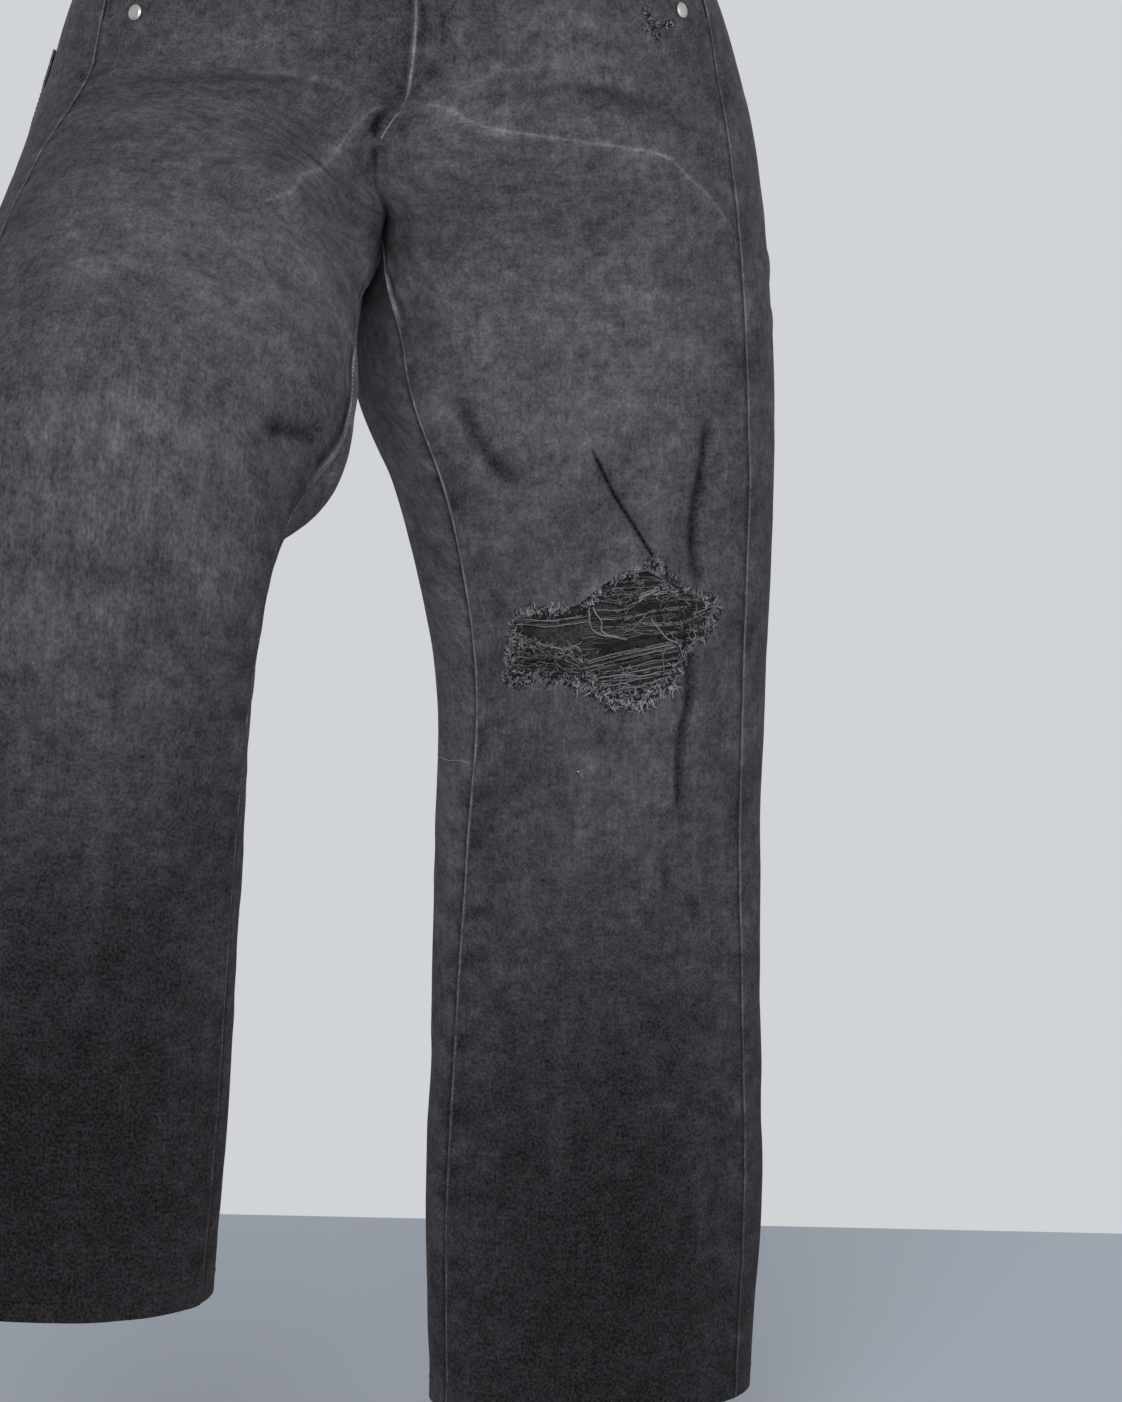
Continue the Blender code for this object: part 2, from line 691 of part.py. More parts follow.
def back_pocket_outline(side):
    corners = (
        (-POCKET_OUTER, POCKET_TOP - 0.010),
        (-POCKET_OUTER - 0.001, 0.185),
        (-POCKET_OUTER - 0.003, 0.220),
        (-POCKET_OUTER - 0.006, 0.258),
        (-POCKET_OUTER - 0.040, 0.270),
        (-POCKET_OUTER - 0.075, 0.284),
        (-POCKET_OUTER - 0.110, 0.276),
        (-POCKET_INNER + 0.005, 0.268),
        (-POCKET_INNER + 0.002, 0.230),
        (-POCKET_INNER + 0.001, 0.195),
        (-POCKET_INNER, POCKET_TOP + 0.008),
        (-POCKET_OUTER - 0.110, POCKET_TOP + 0.004),
        (-POCKET_OUTER - 0.075, POCKET_TOP - 0.001),
        (-POCKET_OUTER - 0.038, POCKET_TOP - 0.005),
    )
    return to_metres(corners)


def patch_outline():
    middle = np.mean([(p.girth, p.down) for p in TEAR], axis=0)
    grown = []
    for p in TEAR[::2]:
        away = np.array((p.girth, p.down)) - middle
        grown.append(tuple(middle + away * (1.0 + PATCH_MARGIN / np.hypot(*away))))
    return to_metres(grown)


def hem_turn(side, material):
    """The hem's turned-up inner layer, all round the leg."""
    surface = HALVES[side]
    front = column_girths(surface, HEM, True, FRONT_COLUMNS)
    back = column_girths(surface, HEM, False, BACK_COLUMNS)
    columns = np.concatenate([back[:0:-1], front])[:-1]
    rows = (ROWS[-2], HEM)
    share = columns / np.where(columns > 0, surface.end(HEM, True), -surface.end(HEM, False))
    girths = []
    for row in rows:
        length = np.where(columns > 0, surface.end(row, True), -surface.end(row, False))
        girths.append(share * length)
    outer = np.vstack([surface.at(g, r, -STEP) for g, r in zip(girths, rows)])
    inner = np.vstack([surface.at(g, r, -STEP - CLOTH) for g, r in zip(girths, rows)])
    n = len(columns)
    faces = [(i, (i + 1) % n, n + (i + 1) % n, n + i) for i in range(n)]
    return wall("hem_" + SIDE_NAMES[side], outer, inner, faces, material)


def strip_faces(rows, columns):
    """Quads between rows of points, each row listed in full before the next."""
    faces = []
    for r in range(rows - 1):
        for c in range(columns - 1):
            i = r * columns + c
            faces.append((i, i + 1, i + columns + 1, i + columns))
    return faces


def waistband(material):
    """One strip round the waist; its right end runs on beneath the left, behind the button."""
    under = -BAND_CLOTH - GAP
    front = float(HALVES[LEFT].end(BAND_HEIGHT / 2.0, True)) - GAP
    lap = FLY_WIDTH / front
    lap_bend = 1.0 - 0.014 / front
    ahead = [k / 9.0 for k in range(8, -1, -1)]
    behind = [-k / 12.0 for k in range(1, 13)]
    columns = [(LEFT, 1.0 - lap, under), (LEFT, 1.0 - lap / 2.0, under), (LEFT, 1.0, under)]
    columns += [(RIGHT, share, 0.0) for share in [lap_bend, *ahead, *behind[:-1]]]
    columns += [(LEFT, share, 0.0) for share in [*behind[::-1], *ahead[::-1], 1.0]]
    rows = (0.0, BAND_HEIGHT / 2.0, BAND_HEIGHT - GAP / 2.0)
    layers = []
    for depth in (0.0, BAND_CLOTH):
        for row in rows:
            for side, share, out in columns:
                surface = HALVES[side]
                length = surface.end(row, share > 0)
                girth = share * length if share > 0 else -share * length
                girth = girth - GAP / 2.0 if share == 1.0 else girth
                layers.append(surface.at(girth, row, out - depth))
    points = np.array(layers)
    half = len(columns) * len(rows)
    faces = strip_faces(len(rows), len(columns))
    return wall("waistband", points[:half], points[half:], faces, material)


def belt_loop(name, columns, lift, material):
    """A narrow strip that stands off the band and is caught down above and below it.

    Columns are (side, girth), where girth is a number or a function of how far down.
    """
    outer, inner = [], []
    for down, out in LOOP:
        for side, girth in columns:
            place = girth(down) if callable(girth) else girth
            outer.append(HALVES[side].at(place, down, out + lift + CLOTH))
            inner.append(HALVES[side].at(place, down, out + lift))
    faces = strip_faces(len(LOOP), len(columns))
    return wall(name, np.array(outer), np.array(inner), faces, material)


def beside_centre_back(side, inset):
    return lambda down: float(HALVES[side].end(down, False)) + inset


def disc(name, centre, outward, profile, around, material):
    """A turned piece, its profile running from the middle of its back to the middle of its front."""
    axis = mathutils.Vector(outward).normalized()
    turn = mathutils.Vector((0.0, 0.0, 1.0)).rotation_difference(axis).to_matrix()
    points, faces = [], []
    for radius, height in profile:
        if radius == 0.0:
            points.append(mathutils.Vector((0.0, 0.0, height)))
            continue
        for k in range(around):
            a = 2.0 * math.pi * k / around
            points.append(mathutils.Vector((radius * math.cos(a), radius * math.sin(a), height)))
    rings = (len(points) - 2) // around
    for k in range(around):
        m = (k + 1) % around
        faces.append((0, 1 + m, 1 + k))
        for r in range(rings - 1):
            a, b = 1 + r * around, 1 + (r + 1) * around
            faces.append((a + k, a + m, b + m, b + k))
        last = 1 + (rings - 1) * around
        faces.append((last + k, last + m, len(points) - 1))
    placed = [tuple(mathutils.Vector(centre) + turn @ p) for p in points]
    return solid(name, np.array(placed), faces, material)


def on_surface(side, girth, down, out):
    surface = HALVES[side]
    g, d = np.array([girth]), np.array([down])
    return surface.at(g, d, out)[0], surface.outward(g, d)[0]


def build():
    clear_scene()
    denim = surface_material("washed_black_denim", (0.082, 0.078, 0.091), 0.92)
    dark = surface_material("dark_backing_denim", (0.036, 0.035, 0.040), 0.95)
    metal = surface_material("pale_rivet_metal", (0.50, 0.50, 0.51), 0.35, 1.0)
    tear = to_metres([(p.girth, p.down) for p in TEAR])
    for side in (LEFT, RIGHT):
        name = SIDE_NAMES[side]
        front, back, yoke = front_outline(side), back_outline(side), yoke_outline(side)
        facing, pocket = facing_outline(side), back_pocket_outline(side)
        lines = [front, facing]
        if side == LEFT:
            lines += [shield_outline(side), tear, patch_outline()]
        cloth = Cloth(side, True, lines)
        holes = [tear] if side == LEFT else []
        cloth.cut("front_" + name, front, holes, 0.0, CLOTH, denim)
        cloth.cut("front_pocket_" + name, facing, [], -STEP, BAG_CLOTH, denim)
        if side == LEFT:
            cloth.cut("fly_shield", shield_outline(side), [], -STEP, CLOTH, denim)
            cloth.cut("knee_patch", patch_outline(), [], -STEP, CLOTH, dark)
        cloth = Cloth(side, False, [back, yoke, pocket])
        cloth.cut("back_" + name, back, [], 0.0, CLOTH, denim)
        cloth.cut("yoke_" + name, yoke, [], 0.0, CLOTH, denim)
        cloth.cut("back_pocket_" + name, pocket, [], STEP, CLOTH, denim)
        hem_turn(side, denim)
        belt_loop("belt_loop_front_" + name, [(side, g) for g in FRONT_LOOP], 0.0, denim)
        belt_loop("belt_loop_side_" + name, [(side, g) for g in SIDE_LOOP], 0.0, denim)
        for rivet in RIVETS:
            centre, outward = on_surface(side, rivet.girth, rivet.down, METAL_LIFT)
            disc("rivet_" + rivet.label + "_" + name, centre, outward, RIVET_PROFILE, RIVET_SIDES, metal)
    waistband(denim)
    across_back = [
        (LEFT, beside_centre_back(LEFT, BACK_LOOP_HALF_WIDTH)),
        (LEFT, beside_centre_back(LEFT, GAP)),
        (RIGHT, beside_centre_back(RIGHT, BACK_LOOP_HALF_WIDTH)),
    ]
    belt_loop("belt_loop_back", across_back, GAP, denim)
    band_middle = BAND_HEIGHT / 2.0
    button_girth = float(HALVES[LEFT].end(band_middle, True)) - BUTTON_INSET
    centre, outward = on_surface(LEFT, button_girth, band_middle, METAL_LIFT)
    disc("waist_button", centre, outward, BUTTON_PROFILE, BUTTON_SIDES, metal)


build()
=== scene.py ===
"""Looks of the ripped jeans: cloth, seams, creases, the torn knee, stitches, metal, light and camera.

Metres, +Z up, in the frame's own coordinates. A place on the cloth is (side, girth, down): girth is the
distance round from the outseam, positive over the front and negative over the back, and down is the
distance below the waist. The surface repeats the solids' sections, pose and folds, then adds the finer
creases, the puckers beside the seams and the frayed tear.
"""

import math
from collections import namedtuple

import bmesh
import bpy
import numpy as np
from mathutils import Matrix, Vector


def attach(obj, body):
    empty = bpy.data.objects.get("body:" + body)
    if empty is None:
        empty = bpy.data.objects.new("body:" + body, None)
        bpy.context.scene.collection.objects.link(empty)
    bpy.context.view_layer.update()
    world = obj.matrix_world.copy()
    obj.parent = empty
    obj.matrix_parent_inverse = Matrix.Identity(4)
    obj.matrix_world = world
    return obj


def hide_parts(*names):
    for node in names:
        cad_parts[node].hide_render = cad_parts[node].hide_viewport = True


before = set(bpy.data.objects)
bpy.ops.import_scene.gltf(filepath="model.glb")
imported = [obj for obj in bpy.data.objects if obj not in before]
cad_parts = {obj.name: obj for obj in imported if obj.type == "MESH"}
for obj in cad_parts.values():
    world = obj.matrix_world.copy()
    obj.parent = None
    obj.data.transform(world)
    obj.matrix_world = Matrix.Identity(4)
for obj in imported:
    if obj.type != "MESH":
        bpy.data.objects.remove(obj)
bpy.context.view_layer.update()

LEFT, RIGHT = 1, -1
SIDE_NAMES = {LEFT: "left", RIGHT: "right"}

# Cloth
CLOTH = 0.0012
BAND_CLOTH = 0.0024
BAG_CLOTH = 0.0010
GAP = 0.0003
STEP = CLOTH + GAP
CENTRE_LAP = 0.0002
SEAM_LAP = 0.0002

# Lengths down from the waist's top edge
BAND_HEIGHT = 0.040
PANEL_TOP = BAND_HEIGHT - 2.0 * SEAM_LAP
YOKE_SIDE = 0.075
YOKE_CENTRE = 0.112
FRONT_CURVE_START = 0.165
BACK_CURVE_START = 0.145
CROTCH = 0.238
HEM = 0.968
HEM_FOLD = 0.016
HEM_RISE = (0.004, 0.008, 0.012)
WAIST_TILT = 0.15
WAIST_TILT_END = 0.130

# Fly
FLY_WIDTH = 0.038
FLY_NARROW = 0.0135
FLY_CURVE = (0.080, 0.128)
FLY_END = 0.165

# Tables, written in millimetres and read into metres
MM = 1000.0
MARKS = {}


def metres(length):
    return length / MM


def line_of(numbers):
    """A line's places, (girth, down), from a run of girths and downs in millimetres."""
    return tuple((metres(girth), metres(down)) for girth, down in zip(numbers[::2], numbers[1::2]))


READERS = {"*": lambda number: number, "~": line_of}


def row_kind(name, fields):
    """A kind of table row. Its fields are lengths, but for plain numbers, marked *, and lines, marked ~."""
    labels = fields.split()
    made = namedtuple(name, [label.rstrip("*~") for label in labels])
    MARKS[made] = [label[-1] for label in labels]
    return made


def table(kind, *rows):
    """Rows of that kind, in metres, from rows in millimetres."""
    return tuple(kind(*(READERS.get(m, metres)(v) for v, m in zip(row, MARKS[kind]))) for row in rows)


# The front pocket's mouth, from the waistband round to the outseam.
MOUTH = line_of((94, 40, 86, 57, 72, 71, 54, 83, 37, 93, 25, 103, 17, 112, 9, 118))

# The torn knee, as its edge runs round.
TEAR = line_of((
    147, 484, 128, 481, 110, 478, 100, 470, 88, 463, 70, 460, 58, 466, 42, 472, 27, 480, 32, 491, 44,
    501, 52, 514, 66, 524, 84, 526, 98, 520, 122, 516, 146, 515, 149, 499
))
PATCH_MARGIN = 0.015

# A belt loop from top to bottom: how far down, and how far it stands off the cloth beneath.
LoopPoint = row_kind("LoopPoint", "down out")
LOOP = table(
    LoopPoint,
    (2, 0.4),
    (8, 2.2),
    (20, 3),
    (34, 2.4),
    (44, 0.6),
    (52, 0.4),
)

# A level ring of the cloth: its inner and outer side, front and back, the angles of its two seams, and how
# round it is.
Section = row_kind("Section", "down inner outer front back out_seam* in_seam* round*")
TORSO = table(
    Section,
    (0, 0, 147, -95, 104, 18, 0, 1),
    (40, 0, 160, -100, 111, 25, 0, 1),
    (80, 0, 180, -105, 119, 31, 0, 1),
    (125, 0, 198, -108, 126, 37, 0, 0.9),
    (160, 0, 208, -108, 127, 41, 0, 0.75),
    (200, 0, 217, -104, 121, 42, 0, 0.6),
    (238, 0, 222, -100, 108, 42, 0, 0.55),
)
LEGS = {
    LEFT: table(
        Section,
        (300, -11, 225, -92, 96, 39, 24, 0.6),
        (369, -17, 225, -82, 84, 38, 38, 0.72),
        (403, -7, 223, -78, 80, 37, 39, 0.8),
        (461, 6, 219, -70, 70, 38, 38, 0.92),
        (520, 14, 215, -64, 60, 38, 36, 1),
        (609, 12, 212, -54, 52, 36, 33, 1),
        (726, 9, 213, -50, 48, 33, 28, 1),
        (844, 5, 215, -50, 47, 32, 25, 1),
        (968, 6, 209, -49, 46, 31, 23, 1),
    ),
    RIGHT: table(
        Section,
        (300, 12, 225, -94, 100, 39, 6, 0.62),
        (369, -4, 224, -86, 99, 38, 4, 0.75),
        (430, -12, 221, -80, 91, 37, 0, 0.88),
        (520, 6, 215, -70, 70, 38, 6, 1),
        (609, 11, 212, -58, 56, 36, 14, 1),
        (726, 9, 213, -52, 50, 33, 20, 1),
        (844, 6, 214, -50, 48, 32, 22, 1),
        (968, 6, 209, -49, 46, 31, 23, 1),
    ),
}
CENTRE_BEHIND_FRONT = 0.002
CENTRE_AHEAD_OF_BACK = 0.008
SEAM_TURN = 0.5
CROTCH_SPREAD = 4.0

# How each leg is held: degrees forward (flex) and outward (spread) of the thigh and of the shin.
Pose = namedtuple("Pose", "thigh_flex thigh_spread shin_flex shin_spread")
POSES = {
    LEFT: Pose(14, 0, 0, 0),
    RIGHT: Pose(62, 17, -6, 5),
}
LEG_AXIS = 0.104
HIP_BEND = (0.110, 0.330)
KNEE_BEND = (0.440, 0.610)
CROTCH_REACH = 0.095
CROTCH_SLOPE = 0.75
CROTCH_EASE = 0.010

# The raised leg draws the crotch seam over towards it.
LEAN = 0.012
LEAN_REACH = 0.070
LEAN_DOWN = (0.110, 0.225, 0.330)

# The left leg's lower end hangs a little longer.
HEM_DROP = {LEFT: 0.008, RIGHT: 0.0}
HEM_DROP_START = 0.780

# The turn from hip to thigh is softened over this reach, between these levels and off the seams.
SOFT_REACH = 0.061
SOFT_STEPS = 6
SOFT_DOWN = (0.120, 0.225, 0.300, 0.440)
SOFT_SEAM = (0.004, 0.030)

# The centre seam is pulled sideways over the groin.
GROIN_PULL = 0.012
GROIN_REACH = 0.045
GROIN_DOWN = (0.158, 0.190, 0.205, 0.238)

# Folds: height out of the cloth, how far the fold spreads on its upper and lower side, and its line.
Fold = row_kind("Fold", "height upper lower line~")
FOLDS = {
    LEFT: table(
        Fold,
        (6, 20, 75, (188, 167, 160, 176, 140, 189, 96, 197, 62, 201, 42, 219, 10, 252)),
        (-4, 30, 30, (110, 385, 90, 420, 68, 450)),
        (-4, 25, 35, (33, 385, 40, 430, 40, 470)),
        (-4, 30, 40, (-60, 470, -160, 490, -250, 475)),
        (-4, 30, 35, (-90, 540, -180, 525, -260, 545)),
        (4, 30, 50, (-70, 265, -160, 290, -280, 270)),
    ),
    RIGHT: table(
        Fold,
        (5, 35, 45, (186, 163, 172, 180, 160, 205, 154, 245, 150, 295, 140, 340)),
        (4, 25, 30, (150, 156, 115, 158, 75, 165, 30, 180)),
        (-5, 22, 22, (235, 458, 210, 452, 185, 455, 140, 470)),
        (4, 30, 60, (-80, 300, -170, 330, -270, 310)),
        (-6, 30, 35, (-50, 505, -150, 525, -250, 515)),
        (-5, 30, 30, (-80, 560, -160, 555, -240, 565)),
    ),
}
FOLD_TAPER = 0.035
FOLD_CLEAR = 0.025


def ease(share):
    share = np.clip(share, 0.0, 1.0)
    return share * share * (3.0 - 2.0 * share)


def between(at, limits):
    return ease((at - limits[0]) / (limits[1] - limits[0]))


def span(at, limits):
    """One between the middle two limits, easing to nothing at the first and the last."""
    return between(at, limits[:2]) * (1.0 - between(at, limits[2:]))


def fading(at, start, over):
    """One up to the start, easing to nothing over that much."""
    return 1.0 - ease((at - start) / over)


def bell(at, middle, width):
    return np.exp(-(((at - middle) / width) ** 2))


def tapered(along, length, over):
    """One along a line, easing to nothing over that much at both of its ends."""
    return ease(along / over) * ease((length - along) / over)


def smooth_curve(at, knots, values):
    """The cubic that passes through a table's values with no corner at its rows."""
    knots, values = np.asarray(knots, float), np.asarray(values, float)
    slopes = np.gradient(values, knots)
    i = np.clip(np.searchsorted(knots, at) - 1, 0, len(knots) - 2)
    width = knots[i + 1] - knots[i]
    t = np.clip((at - knots[i]) / width, 0.0, 1.0)
    rise = t * t * (3.0 - 2.0 * t)
    bend = t * (1.0 - t)
    return (
        values[i] * (1.0 - rise)
        + values[i + 1] * rise
        + width * bend * ((1.0 - t) * slopes[i] - t * slopes[i + 1])
    )


def section_value(side, down, column):
    """One measure of the level ring, which both halves share above the crotch."""
    rows = TORSO + LEGS[side]
    value = smooth_curve(down, [r.down for r in rows], [getattr(r, column) for r in rows])
    return np.where(np.asarray(down) <= CROTCH, 0.0, value) if column in ("inner", "in_seam") else value


def centre_seam(down, start, far, across):
    """How far forward or back of the crotch the ring starts, as the centre seam curves under to it.

    The seam itself turns sharply at the crotch; away from it, where across is nearer 0, the turn is softer.
    """
    share = np.clip((down - start) / (CROTCH - start), 0.0, 1.0)
    softness = SEAM_TURN + CROTCH_SPREAD * (1.0 - np.abs(across))
    return far * (1.0 - share**2.2) ** np.minimum(softness, 2.0)


def ring_point(side, angle, down):
    """(x outward, y) on the level ring. Angle: 0 at the side, 90 front, 180 inner, negative behind."""
    inner, outer, front, back = (
        section_value(side, down, c) for c in ("inner", "outer", "front", "back")
    )
    middle = (inner + outer) / 2.0
    wrapped = (angle + 180.0) % 360.0 - 180.0
    turn = np.radians(np.where(angle == 180.0, 180.0, wrapped))
    across = np.cos(turn)
    deep = np.abs(np.sin(turn))
    square = np.where(across > 0, 1.0, section_value(side, down, "round"))
    across = np.sign(across) * np.abs(across) ** square
    deep = deep**square
    x = middle + across * np.where(across > 0, outer - middle, middle - inner)
    ahead = turn > 0
    front_end = centre_seam(down, FRONT_CURVE_START, front + CENTRE_BEHIND_FRONT, across)
    back_end = centre_seam(down, BACK_CURVE_START, back - CENTRE_AHEAD_OF_BACK, across)
    start = np.where(across > 0, 0.0, np.where(ahead, front_end, back_end))
    start = np.where(down >= CROTCH, 0.0, start)
    y = start + deep * (np.where(ahead, front, back) - start)
    return x, y


def smooth_line(line, parts=6):
    """The same line with its corners rounded: it still passes through every point."""
    ends = [line[0], *line, line[-1]]
    points = []
    for a, b, c, d in zip(ends, ends[1:], ends[2:], ends[3:]):
        a, b, c, d = (np.array(p) for p in (a, b, c, d))
        for k in range(parts):
            t = k / parts
            bend = (2 * a - 5 * b + 4 * c - d) * t**2 + (3 * b - a - 3 * c + d) * t**3
            points.append(tuple(b + (c - a) * t / 2.0 + bend / 2.0))
    return points + [line[-1]]


def beside_line(girth, down, line):
    """(distance, negative on the waist's side; place along; length) for the nearest place on the line."""
    best = np.full(np.shape(girth), 1e9)
    away, along = np.zeros_like(best), np.zeros_like(best)
    start = 0.0
    for (g0, d0), (g1, d1) in zip(line, line[1:]):
        run, drop = g1 - g0, d1 - d0
        length = math.hypot(run, drop)
        share = ((girth - g0) * run + (down - d0) * drop) / length**2
        share = np.clip(share, 0.0, 1.0)
        right, below = girth - g0 - share * run, down - d0 - share * drop
        distance = np.hypot(right, below)
        nearer = distance < best
        side = np.where(run * below - drop * right < 0.0, 1.0, -1.0)
        away = np.where(nearer, distance * side, away)
        along = np.where(nearer, start + share * length, along)
        best = np.minimum(best, distance)
        start += length
    return away, along, start


def close_to(girth, down, line, reach):
    """Which places are within reach of a line's box."""
    low, high = np.min(line, axis=0) - reach, np.max(line, axis=0) + reach
    return (girth > low[0]) & (girth < high[0]) & (down > low[1]) & (down < high[1])


class Surface:
    """One half of the garment: places on it, in space, and its outward direction."""

    SAMPLES = 721
    STEP_DOWN = 0.002
    LENGTH = HEM + 0.020

    def __init__(self, side):
        self.side = side
        self.downs = np.arange(0.0, self.LENGTH + self.STEP_DOWN, self.STEP_DOWN)
        self._measure_girths()
        self._lay_axis()

    def _measure_girths(self):
        """Tables of girth against angle, one for each level."""
        rows = self.downs[:, None]
        lean = section_value(self.side, rows, "in_seam")
        share = np.linspace(0.0, 1.0, self.SAMPLES)[None, :]
        self.angles = -180.0 - lean + share * 360.0
        x, y = ring_point(self.side, np.where(share == 1.0, self.angles - 1e-6, self.angles), rows)
        length = np.hypot(np.diff(x, axis=1), np.diff(y, axis=1)).cumsum(axis=1)
        length = np.hstack([np.zeros((len(self.downs), 1)), length])
        seam = section_value(self.side, self.downs, "out_seam")
        zero = np.array([np.interp(s, a, g) for s, a, g in zip(seam, self.angles, length)])
        self.girths = length - zero[:, None]

    def _lay_axis(self):
        """The bent line that the leg's rings are threaded on, and how far each ring is turned."""
        pose = POSES[self.side]
        hip, knee = between(self.downs, HIP_BEND), between(self.downs, KNEE_BEND)
        flex = pose.thigh_flex * hip + (pose.shin_flex - pose.thigh_flex) * knee
        spread = pose.thigh_spread * hip + (pose.shin_spread - pose.thigh_spread) * knee
        self.flex, self.spread = np.radians(flex), np.radians(spread)
        step = np.stack(
            [
                np.sin(self.spread),
                -np.cos(self.spread) * np.sin(self.flex),
                -np.cos(self.spread) * np.cos(self.flex),
            ],
            axis=1,
        )
        self.axis = np.cumsum(step * self.STEP_DOWN, axis=0) - step[0] * self.STEP_DOWN

    def end(self, down, front):
        """Girth at the inner edge of the front, or of the back."""
        column = self.girths[:, -1 if front else 0]
        return np.interp(down, self.downs, column)

    def angle_at(self, girth, down):
        at = np.clip(down, 0.0, self.LENGTH) / self.STEP_DOWN
        low = np.clip(at.astype(int), 0, len(self.downs) - 2)
        share = at - low
        found = np.zeros(np.shape(girth))
        for row in np.unique(low):
            here = low == row
            for step, weight in ((0, 1.0 - share[here]), (1, share[here])):
                found[here] += weight * np.interp(
                    girth[here], self.girths[row + step], self.angles[row + step]
                )
        return found

    def standing(self, girth, down):
        """The place before the leg is bent, with x outward from the centre."""
        x, y = ring_point(self.side, self.angle_at(girth, down), np.clip(down, 0.0, self.LENGTH))
        tilt = WAIST_TILT * y * ease(1.0 - down / WAIST_TILT_END)
        return np.stack([x, y, tilt - down], axis=-1)

    def posed(self, girth, down):
        """The place on the bent leg, its turn at the groin softened as cloth does."""
        place = self.bent(girth, down)
        seam = np.minimum(self.end(down, True) - girth, girth - self.end(down, False))
        weight = span(down, SOFT_DOWN) * between(seam, SOFT_SEAM)
        near = weight > 0.002
        if near.any():
            reach, total = SOFT_REACH * weight[near], SOFT_STEPS * place[near]
            for step in range(1, SOFT_STEPS):
                share = float(SOFT_STEPS - step)
                for way in (-1.0, 1.0):
                    away = way * step / (SOFT_STEPS - 1.0) * reach
                    total = total + share * self.bent(girth[near], down[near] + away)
            place[near] = total / SOFT_STEPS**2
        pull = GROIN_PULL * bell(place[..., 0], 0.0, GROIN_REACH) * (girth > 0.0)
        place[..., 0] -= pull * span(down, GROIN_DOWN)
        return place

    def bent(self, girth, down):
        still = self.standing(girth, down)
        flex = np.interp(down, self.downs, self.flex)[..., None]
        spread = np.interp(down, self.downs, self.spread)[..., None]
        axis = np.stack([np.interp(down, self.downs, self.axis[:, k]) for k in range(3)], axis=-1)
        zero = np.zeros_like(flex)
        outward = np.concatenate(
            [np.cos(spread), np.sin(spread) * np.sin(flex), np.sin(spread) * np.cos(flex)], axis=-1
        )
        backward = np.concatenate([zero, np.cos(flex), -np.sin(flex)], axis=-1)
        x, y = still[..., :1], still[..., 1:2]
        bent = axis + (x - LEG_AXIS) * outward + y * backward
        bent[..., 0] += LEG_AXIS
        bent[..., 2] += still[..., 2] + down
        below = np.hypot(np.maximum(0.0, down - CROTCH), CROTCH_EASE)[..., None] - CROTCH_EASE
        share = ease((x + CROTCH_SLOPE * below) / CROTCH_REACH)
        place = still + share * (bent - still)
        place[..., 2] -= HEM_DROP[self.side] * ease((down - HEM_DROP_START) / (self.LENGTH - HEM_DROP_START))
        lean = LEAN * bell(place[..., 0], 0.0, LEAN_REACH)
        lean = lean * between(down, LEAN_DOWN[:2]) * (1.0 - between(down, LEAN_DOWN[1:]))
        place[..., 0] = self.side * (place[..., 0] - CENTRE_LAP) - lean
        return place

    def outward(self, girth, down):
        """The unit direction out of the cloth."""
        reach = 0.0006
        low, high = self.end(down, False) + reach, self.end(down, True) - reach
        girth = np.clip(girth, low, high)
        along = self.posed(girth + reach, down) - self.posed(girth - reach, down)
        up = self.posed(girth, down - reach) - self.posed(girth, down + reach)
        normal = self.side * np.cross(up, along)
        return normal / np.linalg.norm(normal, axis=-1, keepdims=True)

    def at(self, girth, down, out=0.0):
        """The place, moved out of the cloth by that much."""
        girth, down, out = np.broadcast_arrays(
            np.asarray(girth, float), np.asarray(down, float), np.asarray(out, float)
        )
        out = out + self.fold_height(girth, down)
        return self.posed(girth, down) + out[..., None] * self.outward(girth, down)

    def fold_height(self, girth, down):
        """How far the folds lift the cloth, easing to nothing at the inner seams."""
        height = np.zeros(np.shape(girth))
        for fold in FOLDS[self.side]:
            line = smooth_line(fold.line)
            near = close_to(girth, down, line, max(fold.upper, fold.lower))
            away, along, length = beside_line(girth[near], down[near], line)
            spread = np.where(away < 0.0, fold.upper, fold.lower)
            rise = np.clip(1.0 - np.abs(away) / spread, 0.0, 1.0)
            height[near] += fold.height * ease(rise) * tapered(along, length, FOLD_TAPER)
        front, back = self.end(down, True) - girth, girth - self.end(down, False)
        return height * ease(front / FOLD_CLEAR) * ease(back / FOLD_CLEAR)


HALVES = {side: Surface(side) for side in (LEFT, RIGHT)}
